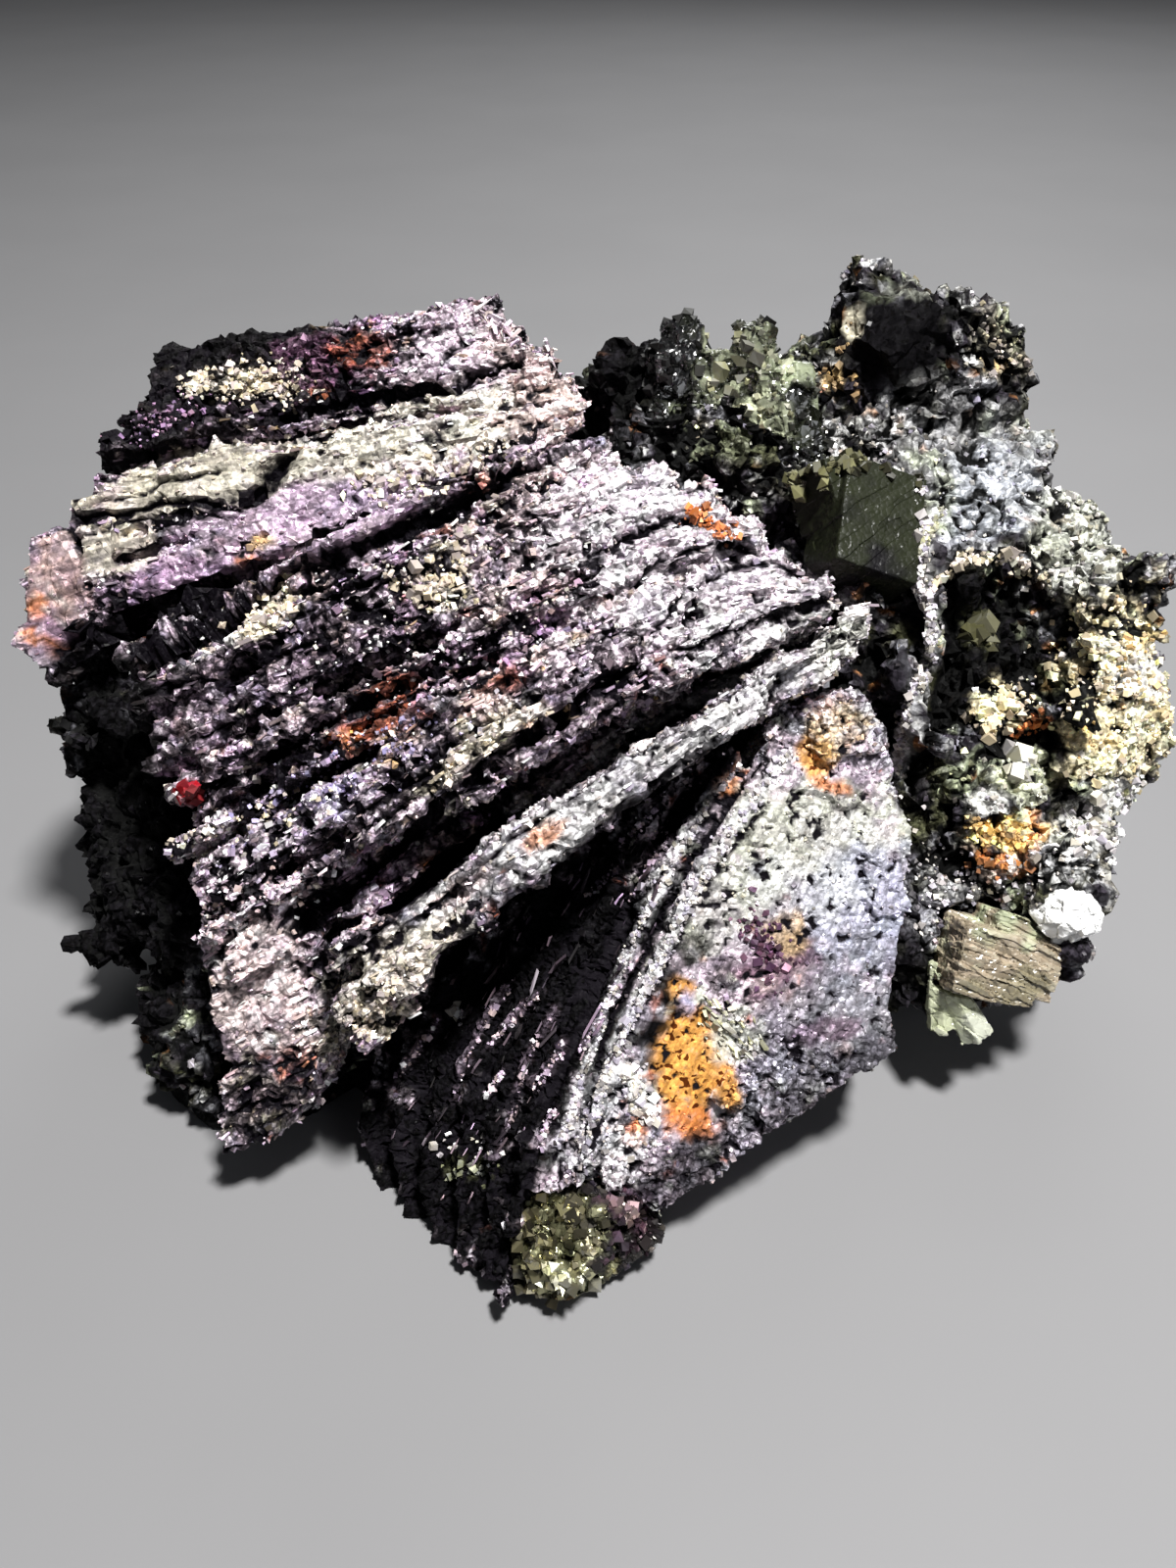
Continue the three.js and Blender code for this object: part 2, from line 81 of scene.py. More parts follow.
def chance(i, j, k, seed):  # an even number from 0 to 1 for each cell
    mixed = np.uint64(seed * stirring["seed"] % stirring["wrap"])
    for cell, factor in zip((i, j, k), stirring["axes"]):
        mixed = mixed ^ cell.astype(np.uint64) * np.uint64(factor)
    for factor in stirring["rounds"]:
        mixed = (mixed ^ (mixed >> np.uint64(15))) * np.uint64(factor)
        mixed &= np.uint64(0xFFFFFFFF)
    mixed ^= mixed >> np.uint64(13)
    return (mixed & np.uint64(0xFFFFFF)).astype(float) / 0x1000000


def swell(points, size, seed):  # smooth noise, about -1 to 1
    scaled = points / size
    cell = np.floor(scaled).astype(np.int64)
    part = scaled - cell
    part = part * part * (3 - 2 * part)
    total = np.zeros(len(points))
    for di in (0, 1):
        for dj in (0, 1):
            for dk in (0, 1):
                share = np.ones(len(points))
                for axis, step in enumerate((di, dj, dk)):
                    share = share * (part[:, axis] if step else 1 - part[:, axis])
                total += share * chance(cell[:, 0] + di, cell[:, 1] + dj, cell[:, 2] + dk, seed)
    return total * 2 - 1


def grains(points, size, seed, blocky):
    # The nearest grain to each point: five chances for the grain, where the point lies in it, and how far
    # the grain's edge is. Blocky grains have square outlines.
    scaled = points / np.asarray(size)
    base = np.floor(scaled).astype(np.int64)
    nearest = np.full(len(points), 9.0)
    second = np.full(len(points), 9.0)
    inside = np.zeros((len(points), 3))
    mark = np.zeros((len(points), 3), np.int64)
    for di in (-1, 0, 1):
        for dj in (-1, 0, 1):
            for dk in (-1, 0, 1):
                cell = base + (di, dj, dk)
                i, j, k = cell.T
                jitter = np.stack([chance(i, j, k, seed + n) for n in range(3)], 1)
                off = scaled - cell - 0.1 - 0.8 * jitter
                reach = np.sqrt((off * off).sum(1)) * (1 - blocky) + np.abs(off).max(1) * blocky
                closer = reach < nearest
                second = np.where(closer, nearest, np.minimum(second, reach))
                nearest = np.where(closer, reach, nearest)
                inside[closer] = off[closer]
                mark[closer] = cell[closer]
    i, j, k = mark.T
    lot = [chance(i, j, k, seed + 3 + n) for n in range(5)]
    return lot, inside, second - nearest


def facets(points, form, seed, blocky):  # flat-topped grains, each at its own height and tilt
    size, rise, tilt = form
    lot, inside, edge = grains(points, size, seed, blocky)
    slope = np.stack(lot[1:4], 1) - 0.5
    return (lot[0] - 0.5) * rise + (inside * slope).sum(1) * tilt, lot[4], edge


def seams(edge, wide=0.12):  # 1 on the border between two grains, 0 at wide from it
    return ease(wide, 0.02, edge)


# Meshes.
def addObject(name, mesh, material=None):
    made = bpy.data.objects.new(name, mesh)
    bpy.context.scene.collection.objects.link(made)
    if material:
        mesh.materials.clear()
        mesh.materials.append(material)
    return made


def settle(piece):  # turns a piece's modifiers into its own mesh
    whole = bpy.context.evaluated_depsgraph_get()
    made = bpy.data.meshes.new_from_object(piece.evaluated_get(whole))
    old = piece.data
    piece.modifiers.clear()
    piece.data = made
    bpy.data.meshes.remove(old)


def pointsOf(mesh):
    flat = np.zeros(len(mesh.vertices) * 3, np.float32)
    mesh.vertices.foreach_get("co", flat)
    return flat.reshape(-1, 3).astype(float)


def normalsOf(mesh):
    flat = np.zeros(len(mesh.vertices) * 3, np.float32)
    mesh.vertex_normals.foreach_get("vector", flat)
    return flat.reshape(-1, 3).astype(float)


def setPoints(mesh, points):
    mesh.vertices.foreach_set("co", points.astype(np.float32).ravel())
    mesh.update()


def writeColour(mesh, name, colours):
    made = mesh.attributes.new(name, "FLOAT_COLOR", "POINT")
    full = np.ones((len(colours), 4), np.float32)
    full[:, :3] = colours
    made.data.foreach_set("color", full.ravel())


def writeNumber(mesh, name, values):
    made = mesh.attributes.new(name, "FLOAT", "POINT")
    made.data.foreach_set("value", values.astype(np.float32))


def writeVector(mesh, name, values):
    made = mesh.attributes.new(name, "FLOAT_VECTOR", "POINT")
    made.data.foreach_set("vector", values.astype(np.float32).ravel())


def flatShade(mesh):
    mesh.polygons.foreach_set("use_smooth", np.zeros(len(mesh.polygons), bool))


# Colours of the minerals, and how much of each is a dull crust and not metal. Black is also used for painted
# shade.
tones = {
    "silver": ((0.60, 0.50, 0.57), 0.25),
    "umber": ((0.17, 0.135, 0.155), 0.30),
    "steel": ((0.20, 0.20, 0.22), 0.15),
    "black": ((0.004, 0.0036, 0.0045), 0.80),
    "ink": ((0.022, 0.019, 0.025), 0.50),
    "violet": ((0.44, 0.28, 0.44), 0.25),
    "lilac": ((0.55, 0.42, 0.54), 0.35),
    "deepViolet": ((0.12, 0.055, 0.10), 0.30),
    "blueViolet": ((0.52, 0.50, 0.74), 0.20),
    "cream": ((0.84, 0.78, 0.60), 0.70),
    "greyWhite": ((0.72, 0.72, 0.72), 0.45),
    "pinkCream": ((0.74, 0.58, 0.54), 0.60),
    "rust": ((0.30, 0.075, 0.030), 0.75),
    "orange": ((0.66, 0.22, 0.060), 0.85),
    "limonite": ((0.66, 0.31, 0.075), 1.00),
    "gold": ((0.66, 0.47, 0.22), 0.55),
    "deepRed": ((0.24, 0.006, 0.010), 0.30),
    "olive": ((0.050, 0.052, 0.026), 0.35),
    "greyGreen": ((0.66, 0.68, 0.58), 0.50),
    "blueWhite": ((0.38, 0.40, 0.50), 0.35),
    "paleGreen": ((0.52, 0.55, 0.38), 0.55),
    "brownOrange": ((0.40, 0.17, 0.055), 0.70),
    "white": ((0.90, 0.90, 0.86), 0.60),
    "creamGold": ((0.95, 0.84, 0.54), 0.70),
    "bluish": ((0.66, 0.70, 0.78), 0.50),
    "brass": ((0.36, 0.35, 0.21), 0.05),
    "jade": ((0.34, 0.38, 0.25), 0.40),
    "rosyWhite": ((0.92, 0.83, 0.85), 0.60),
    "rosyLilac": ((0.82, 0.68, 0.78), 0.40),
    "bottle": ((0.012, 0.014, 0.007), 0.30),
    "honey": ((0.15, 0.13, 0.085), 0.40),
    "ivory": ((0.80, 0.76, 0.64), 0.60),
    "sage": ((0.56, 0.57, 0.48), 0.50),
    "amber": ((0.95, 0.66, 0.25), 0.60),
    "oldIvory": ((0.62, 0.58, 0.46), 0.65),
    "rosyBeige": ((0.88, 0.72, 0.70), 0.55),
    "paleSilver": ((0.88, 0.80, 0.86), 0.40),
    "snow": ((0.95, 0.95, 0.93), 0.60),
    "bark": ((0.24, 0.19, 0.14), 0.50),
    "rosyBrown": ((0.42, 0.28, 0.25), 0.45),
}


view = {"at": (0.002, -0.06174, 0.06653), "lens": 29.25, "sensor": 36, "near": 0.005}  # the camera


# Marks that a user can move. They sit at pixels of the picture, and much is how strong they are.
def area(at, reach, much, turn=0):  # an oval: reach goes along and across, turn is its climb in degrees
    return {"at": at, "reach": reach, "much": much, "turn": turn}


def patch(at, reach, tone, much, turn=0, wrap=False, ragged=1):  # a coloured oval, round the side if wrapped
    return {**area(at, reach, much, turn), "tone": tone, "wrap": wrap, "ragged": ragged}


def line(x, y, wide, deep=0, much=1):  # deep is how far it cuts in, in mm
    return {"x": x, "y": y, "wide": wide, "deep": deep, "much": much}


# Small crystals along a line, with sizes in mm. Their brightness runs from dim to lit, and the brightest also
# serve as painted glints.
def beads(x, y, wide, count, sizes, tone, dim=0.3, lit=1.4, shape=(1, 1, 0.9), out=0.15, **more):
    return {"x": x, "y": y, "wide": wide, "count": count, "sizes": sizes, "tone": tone, "dim": dim,
            "lit": lit, "rare": 1.5, "shape": shape, "out": out, **more}


def coverOf(pixels, mark, ragged=0):  # 1 in the middle of an area, 0 beyond it
    turn = math.radians(mark["turn"])
    aside = pixels - mark["at"]
    along = aside[:, 0] * math.cos(turn) - aside[:, 1] * math.sin(turn)
    across = aside[:, 0] * math.sin(turn) + aside[:, 1] * math.cos(turn)
    reach = np.sqrt((along / mark["reach"][0]) ** 2 + (across / mark["reach"][1]) ** 2)
    return ease(1.25, 0.75, reach + ragged) * mark["much"]


def mix(first, other, share):
    return first + (other - first) * share


# How colours are laid on. Each noise has a strength and a size in mm. The ground's second and third colours
# come in between two levels of noise. The other pairs say how far a surface may turn: 1 faces the camera.
brush = {
    "ragged": ((0.25, 2.2), (0.40, 0.7)), "mottled": ((1.0, 3.0), (0.8, 1.1)),
    "second": (0.0, 0.9), "third": (0.25, 0.9), "speckEdge": 0.12, "speck": 0.85,
    "front": (-0.25, 0.2), "side": (-0.8, -0.5), "behind": (0.15, -0.35),
    "lines": (-0.3, 0.1), "calm": (-0.1, 0.3),
}


def noises(shown, layers, seed):
    return sum(strength * swell(shown, size, seed + n) for n, (strength, size) in enumerate(layers))


def paint(points, normals, colouring, seed):  # a colour, and how much of it is crust, for each point
    shown = toShow(points)
    pixels = toPicture(shown)
    facingUs = facing(points, normals)
    ragged = noises(shown, brush["ragged"], seed)
    mottled = noises(shown, brush["mottled"], seed + 2)
    colour, crust = np.zeros((len(points), 3)), np.zeros(len(points))
    share = ease(*brush["behind"], facingUs)
    ground = colouring["ground"]
    for names, much in ((ground, 1 - share), (colouring.get("behind", ground), share)):
        first, other, third = (tones[name] for name in names)
        towardOther = ease(*brush["second"], mottled)[:, None]
        towardThird = ease(*brush["third"], -mottled)[:, None]
        mixed = np.array(first[0]) * (1 - towardOther) + np.array(other[0]) * towardOther
        mixed = mixed * (1 - towardThird) + np.array(third[0]) * towardThird
        colour += mixed * much[:, None]
        crust += (first[1] + (other[1] - first[1]) * towardOther[:, 0]) * much
    for n, (name, (size, level)) in enumerate(colouring.get("specks", {}).items()):
        cover = ease(level, level + brush["speckEdge"], swell(shown, size, seed + 20 + n))[:, None]
        cover = cover * brush["speck"]
        colour = mix(colour, np.array(tones[name][0]), cover)
        crust = mix(crust, tones[name][1], cover[:, 0])
    for mark in colouring.get("patches", {}).values():
        cover = coverOf(pixels, mark, ragged * mark["ragged"])
        cover *= ease(*brush["side" if mark["wrap"] else "front"], facingUs)
        shade, dull = tones[mark["tone"]]
        colour = mix(colour, np.array(shade), cover[:, None])
        crust = mix(crust, dull, cover)
    return colour, crust


strokeEnds = {"before": 8, "after": 12, "sway": 3.5, "fineSway": 2.5}  # in pixels


def strokes(points, normals, lines):  # how much the lines cover, 0 to 1, and how deep they cut, in mm
    shown = toShow(points)
    pixels = toPicture(shown)
    seen = ease(*brush["lines"], facing(points, normals))
    wobble = strokeEnds["sway"] * swell(shown, 1.4, 5) + strokeEnds["fineSway"] * swell(shown, 0.5, 6)
    cover = np.zeros(len(points))
    depth = np.zeros(len(points))
    for stroke in lines.values():
        x, y = np.array(stroke["x"]), np.array(stroke["y"])
        steep = abs(y[-1] - y[0]) > abs(x[-1] - x[0])
        run, rise = (pixels[:, 1], pixels[:, 0]) if steep else (pixels[:, 0], pixels[:, 1])
        runs, rises = (y, x) if steep else (x, y)
        order = np.argsort(runs)
        off = (rise - np.interp(run, runs[order], rises[order]) + wobble) / stroke["wide"]
        low, high = runs.min(), runs.max()
        ends = ease(low - strokeEnds["before"], low + strokeEnds["after"], run)
        ends = ends * ease(high + strokeEnds["before"], high - strokeEnds["after"], run)
        share = np.exp(-off * off) * ends * seen
        cover = np.maximum(cover, share * stroke["much"])
        depth += share * stroke["deep"]
    return cover, depth


def fineCopy(node, name, voxel, rounds=0):  # an even, fine mesh of a CAD node, ready to be shaped
    piece = addObject(name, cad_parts[node].data.copy())
    remesh = piece.modifiers.new("even", "REMESH")
    remesh.mode = "VOXEL"
    remesh.voxel_size = voxel * mm
    if rounds:
        soft = piece.modifiers.new("soften the steps", "SMOOTH")
        soft.iterations = rounds
    settle(piece)
    return piece


baseHeights = (0.1, 1.3)  # relief fades in between these heights, in mm


def carve(piece, points, normals, depth):  # moves the surface out by depth, in mm, and keeps the base flat
    fade = ease(*baseHeights, points[:, 2] / mm)
    moved = points + normals * (depth * fade * mm)[:, None]
    moved[:, 2] = np.maximum(moved[:, 2], 0)
    setPoints(piece.data, moved)
    return moved


def lighten(piece, triangles):  # fewer triangles where the surface is flat
    thin = piece.modifiers.new("lighten", "DECIMATE")
    thin.ratio = min(1, triangles / (2 * len(piece.data.polygons)))
    settle(piece)


def carryOver(piece, points, channels):  # brings colours and numbers from the fine mesh to the lighter one
    tree = kdtree.KDTree(len(points))
    for n, place in enumerate(points):
        tree.insert(place, n)
    tree.balance()
    nearest = np.array([tree.find(v.co)[1] for v in piece.data.vertices])
    for name, values in channels.items():
        if values.ndim == 2:
            writeColour(piece.data, name, values[nearest])
        else:
            writeNumber(piece.data, name, values[nearest])


# What a piece has unless its own dictionary says otherwise.
plainShape = {"rounds": 0, "calm": {}, "healed": 0.85, "cavities": (1, 0, 2), "rim": (0, 1), "grooves": {}}

# How strongly calm places, hollows, rims and grooves act on depth and colour. The grooves are also painted
# dark as shade.
finish = {
    "calmDepth": 0.8, "calmLots": 0.4, "hollowFine": 0.42, "hollowEdge": 0.18, "rimTurn": (0.75, 0.2),
    "groovePaintedShade": 0.93, "lineFill": 0.7, "gapLow": 0.8, "brightest": 0.95,
}


def makePiece(node, name, shape, formOf, colouring, material):
    # formOf gives the depth, how open the gaps are, a brightness for each grain, and the usual depth.
    shape = {**plainShape, **shape}
    seed = shape["seed"]
    piece = fineCopy(node, name, shape["voxel"], shape["rounds"])
    points, normals = pointsOf(piece.data), normalsOf(piece.data)
    shown = toShow(points)
    depth, gaps, lots, mean = formOf(shown, toPicture(shown), shape)
    turned = facing(points, normals)
    calm = np.zeros(len(points))
    ragged = 0.2 * swell(shown, 2.0, 7)
    for mark in shape["calm"].values():
        calm = np.maximum(calm, coverOf(toPicture(shown), mark, ragged) * ease(*brush["calm"], turned))
    depth, gaps = depth * (1 - finish["calmDepth"] * calm), gaps * (1 - calm)
    lots = 1 + (lots - 1) * (1 - finish["calmLots"] * calm)
    size, deep, level = shape["cavities"]
    hollows = noises(shown, ((0.65, size), (0.5, size * finish["hollowFine"])), seed + 60)
    hollows = ease(level, level + finish["hollowEdge"], hollows) * (1 - shape["healed"] * calm)
    depth -= deep * hollows
    gaps = np.maximum(gaps, hollows)
    rim, rimSize = shape["rim"]
    depth += rim * swell(shown, rimSize, 9) * ease(*finish["rimTurn"], np.abs(turned))
    cover, cut = strokes(points, normals, shape["grooves"])
    moved = carve(piece, points, normals, depth - cut)
    colour, crust = paint(points, normals, colouring, seed + 90)
    for tone, lines in colouring.get("lines", {}).items():
        share, _ = strokes(points, normals, lines)
        colour = mix(colour, np.array(tones[tone][0]), share[:, None])
        crust = mix(crust, tones[tone][1], share)
        cover = cover * (1 - share)
        gaps = gaps * (1 - finish["lineFill"] * share)
    cover, gaps = np.clip(cover, 0, 1), np.clip(gaps, 0, 1)
    # The cut grooves are painted dark as shade. Grooves and gaps also get a low relief, from which the shader
    # paints shade in the pits.
    colour = np.clip(colour * (lots * (1 - finish["groovePaintedShade"] * cover))[:, None], 0, finish["brightest"])
    relief = np.clip(0.5 + (depth - mean) * shape["contrast"], 0, 1)
    relief = relief * (1 - finish["gapLow"] * gaps) * (1 - cover)
    lighten(piece, shape["triangles"])
    carryOver(piece, moved, {"tone": colour, "crust": crust, "relief": relief, "calm": calm})
    shown = toShow(pointsOf(piece.data))
    writeVector(piece.data, "lay", layFor(shown, toPicture(shown), shape))
    piece.data.materials.clear()
    piece.data.materials.append(material)
    flatShade(piece.data)
    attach(piece, "root")
    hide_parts(node)
    print(name, len(piece.data.polygons), "faces")
    return piece


def layFor(shown, pixels, shape):  # along the plates, across them and into the stone, in mm
    if "lay" in shape:
        across = layOf(pixels, shape["lay"])
        along = shown[:, 0] + 0.45 * shown[:, 1]
    else:
        steep = math.radians(shape.get("steep", 0))
        across = shown[:, 0] * math.sin(steep) - shown[:, 1] * math.cos(steep)
        along = shown[:, 0] * math.cos(steep) + shown[:, 1] * math.sin(steep)
    return np.stack([along, across, shown[:, 2]], 1)


def layOf(pixels, lines):  # how far down the fan of plates each pixel lies, in mm
    pixel = 0.05  # mm a pixel, above the first line and below the last
    heights = [np.interp(pixels[:, 0], row["x"], row["y"]) for row in lines.values()]
    levels = [row["level"] for row in lines.values()]
    total = np.minimum(pixels[:, 1] - heights[0], 0) * pixel
    total += np.maximum(pixels[:, 1] - heights[-1], 0) * pixel
    for n in range(len(levels) - 1):
        share = (pixels[:, 1] - heights[n]) / (heights[n + 1] - heights[n])
        total += np.clip(share, 0, 1) * (levels[n + 1] - levels[n])
    return total


# Shader tools.
def addNode(tree, kind, feeds=None, **settings):
    made = tree.nodes.new(kind)
    for name, value in settings.items():
        setattr(made, name, value)
    for socket, value in (feeds or {}).items():
        if isinstance(value, bpy.types.NodeSocket):
            tree.links.new(value, made.inputs[socket])
        else:
            made.inputs[socket].default_value = value
    return made


def sums(tree, operation, first, second=0.0, clamp=False):
    feeds = {0: first, 1: second}
    return addNode(tree, "ShaderNodeMath", feeds, operation=operation, use_clamp=clamp).outputs[0]


def times(tree, first, second):
    return sums(tree, "MULTIPLY", first, second)


def vectors(tree, operation, first, second=None, scale=None):
    feeds = {0: first}
    if second is not None:
        feeds[1] = second
    if scale is not None:
        feeds["Scale"] = scale
    return addNode(tree, "ShaderNodeVectorMath", feeds, operation=operation).outputs[0]


def blendColours(tree, factor, first, second, way="MIX"):
    feeds = {0: factor, 6: first, 7: second}
    return addNode(tree, "ShaderNodeMix", feeds, data_type="RGBA", blend_type=way).outputs[2]


def spread(tree, value, low, high, toLow=0.0, toHigh=1.0):
    feeds = {"Value": value, "From Min": low, "From Max": high, "To Min": toLow, "To Max": toHigh}
    return addNode(tree, "ShaderNodeMapRange", feeds, interpolation_type="SMOOTHSTEP").outputs["Result"]


def noise(tree, scale, detail, place=None, roughness=0.5):
    feeds = {"Scale": scale, "Detail": detail, "Roughness": roughness}
    if place:
        feeds["Vector"] = place
    return addNode(tree, "ShaderNodeTexNoise", feeds).outputs


def painted(tree, name, output="Fac"):  # what makePiece or grow wrote on the mesh
    return addNode(tree, "ShaderNodeAttribute", attribute_name=name).outputs[output]


def objectPlace(tree):
    return addNode(tree, "ShaderNodeTexCoord").outputs["Object"]


def brightness(tree, colour):
    return addNode(tree, "ShaderNodeRGBToBW", {0: colour}).outputs[0]


def startGroup(name, inputs, outputs):
    tree = bpy.data.node_groups.new(name, "ShaderNodeTree")
    kinds = {"number": "NodeSocketFloat", "colour": "NodeSocketColor", "vector": "NodeSocketVector"}
    for label, (kind, value) in inputs.items():
        made = tree.interface.new_socket(label, in_out="INPUT", socket_type=kinds[kind])
        made.default_value = value
    for label, kind in outputs.items():
        tree.interface.new_socket(label, in_out="OUTPUT", socket_type=kinds[kind])
    return tree, tree.nodes.new("NodeGroupInput").outputs, tree.nodes.new("NodeGroupOutput").inputs


def useGroup(tree, group, feeds):
    made = tree.nodes.new("ShaderNodeGroup")
    made.node_tree = group
    for socket, value in feeds.items():
        if isinstance(value, bpy.types.NodeSocket):
            tree.links.new(value, made.inputs[socket])
        else:
            made.inputs[socket].default_value = value
    return made.outputs


def makeGrainGroup():  # small crystals: a shade for each, its edges, and a normal that tilts each its own way
    inputs = {"Size": ("number", 0.0006), "Tilt": ("number", 0.5), "Bulge": ("number", 0.6),
              "Jumble": ("number", 0.3)}
    outputs = {"Shade": "number", "Body": "number", "Normal": "vector"}
    tree, given, result = startGroup("crystal grain", inputs, outputs)
    place = objectPlace(tree)
    scaled = vectors(tree, "SCALE", place, scale=sums(tree, "DIVIDE", 1.0, given["Size"]))
    wander = noise(tree, 0.9, 1.0, scaled)["Color"]
    moved = vectors(tree, "ADD", scaled, vectors(tree, "SCALE", wander, scale=given["Jumble"]))
    cells = addNode(tree, "ShaderNodeTexVoronoi", {"Vector": moved, "Scale": 1.0}).outputs
    lot = addNode(tree, "ShaderNodeSeparateColor", {0: cells["Color"]})
    lean = vectors(tree, "SUBTRACT", cells["Color"], (0.5, 0.5, 0.5))
    leaned = vectors(tree, "SCALE", lean, scale=times(tree, given["Tilt"], 2.0))
    bulged = vectors(tree, "SCALE", vectors(tree, "SUBTRACT", moved, cells["Position"]), scale=given["Bulge"])
    upright = addNode(tree, "ShaderNodeNewGeometry").outputs["Normal"]
    both = vectors(tree, "ADD", vectors(tree, "ADD", upright, leaned), bulged)
    tree.links.new(lot.outputs[0], result["Shade"])
    tree.links.new(spread(tree, cells["Distance"], 0.75, 0.40), result["Body"])
    tree.links.new(vectors(tree, "NORMALIZE", both), result["Normal"])
    return tree


def makeTarnishGroup():  # thin films of colour that come and go over the metal
    inputs = {"Color": ("colour", (0.1, 0.1, 0.1, 1)), "First film": ("colour", (0.4, 0.2, 0.5, 1)),
              "Second film": ("colour", (0.2, 0.3, 0.7, 1)),
              "Amount": ("number", 0.5), "Size": ("number", 0.003)}
    tree, given, result = startGroup("tarnish", inputs, {"Color": "colour"})
    place = objectPlace(tree)
    per = sums(tree, "DIVIDE", 1.0, given["Size"])
    broad = noise(tree, per, 3.0, place, 0.65)["Color"]
    parts = addNode(tree, "ShaderNodeSeparateColor", {0: broad}).outputs
    bright = spread(tree, brightness(tree, given["Color"]), 0.02, 0.20)
    amount = times(tree, given["Amount"], bright)
    firstCover = times(tree, spread(tree, parts[0], 0.46, 0.62), amount)
    secondCover = times(tree, spread(tree, parts[1], 0.52, 0.64), amount)
    once = blendColours(tree, firstCover, given["Color"], given["First film"])
    tree.links.new(blendColours(tree, secondCover, once, given["Second film"]), result["Color"])
    return tree


def makePitShadeGroup():  # painted shade in the pits and a painted highlight on the raised edges
    inputs = {"Color": ("colour", (0.1, 0.1, 0.1, 1)), "Pit color": ("colour", (0.01, 0.01, 0.01, 1)),
              "Edge color": ("colour", (0.6, 0.6, 0.6, 1)), "Relief": ("number", 0.5),
              "Pits": ("number", 0.8), "Edges": ("number", 0.4)}
    tree, given, result = startGroup("pit shade and edge highlight", inputs, {"Color": "colour"})
    place = objectPlace(tree)
    rough = noise(tree, 2200.0, 2.0, place)["Fac"]
    sway = times(tree, sums(tree, "SUBTRACT", rough, 0.5), 0.5)
    height = sums(tree, "ADD", given["Relief"], sway)
    pits = times(tree, spread(tree, height, 0.42, 0.16), given["Pits"])
    edges = times(tree, spread(tree, height, 0.60, 0.95), given["Edges"])
    edges = times(tree, edges, spread(tree, brightness(tree, given["Color"]), 0.02, 0.30))
    shadedColour = blendColours(tree, edges, given["Color"], given["Edge color"])
    tree.links.new(blendColours(tree, pits, shadedColour, given["Pit color"]), result["Color"])
    return tree


def makeStreakGroup():  # the thin edges of the plates, dark and light by turns
    inputs = {"Thickness": ("number", 0.3), "Length": ("number", 3.0)}
    tree, given, result = startGroup("plate streaks", inputs, {"Streak": "number"})
    lay = painted(tree, "lay", "Vector")
    apart = addNode(tree, "ShaderNodeSeparateXYZ", {0: lay}).outputs
    along = sums(tree, "DIVIDE", apart[0], given["Length"])
    across = sums(tree, "DIVIDE", apart[1], given["Thickness"])
    deep = sums(tree, "DIVIDE", apart[2], given["Length"])
    place = addNode(tree, "ShaderNodeCombineXYZ", {0: along, 1: across, 2: deep}).outputs[0]
    tree.links.new(spread(tree, noise(tree, 1.0, 2.0, place, 0.6)["Fac"], 0.36, 0.60), result["Streak"])
    return tree


grainGroup, tarnishGroup = makeGrainGroup(), makeTarnishGroup()
pitShadeGroup, streakGroup = makePitShadeGroup(), makeStreakGroup()
print("shader groups ready")


def startMaterial(name):
    material = bpy.data.materials.new(name)
    material.use_nodes = True
    tree = material.node_tree
    return material, tree, tree.nodes["Principled BSDF"].inputs


calmed = {"tilt": 0.35, "bulge": 0.25, "fineTilt": 0.6, "speckle": 0.35}  # what a calm face keeps of each


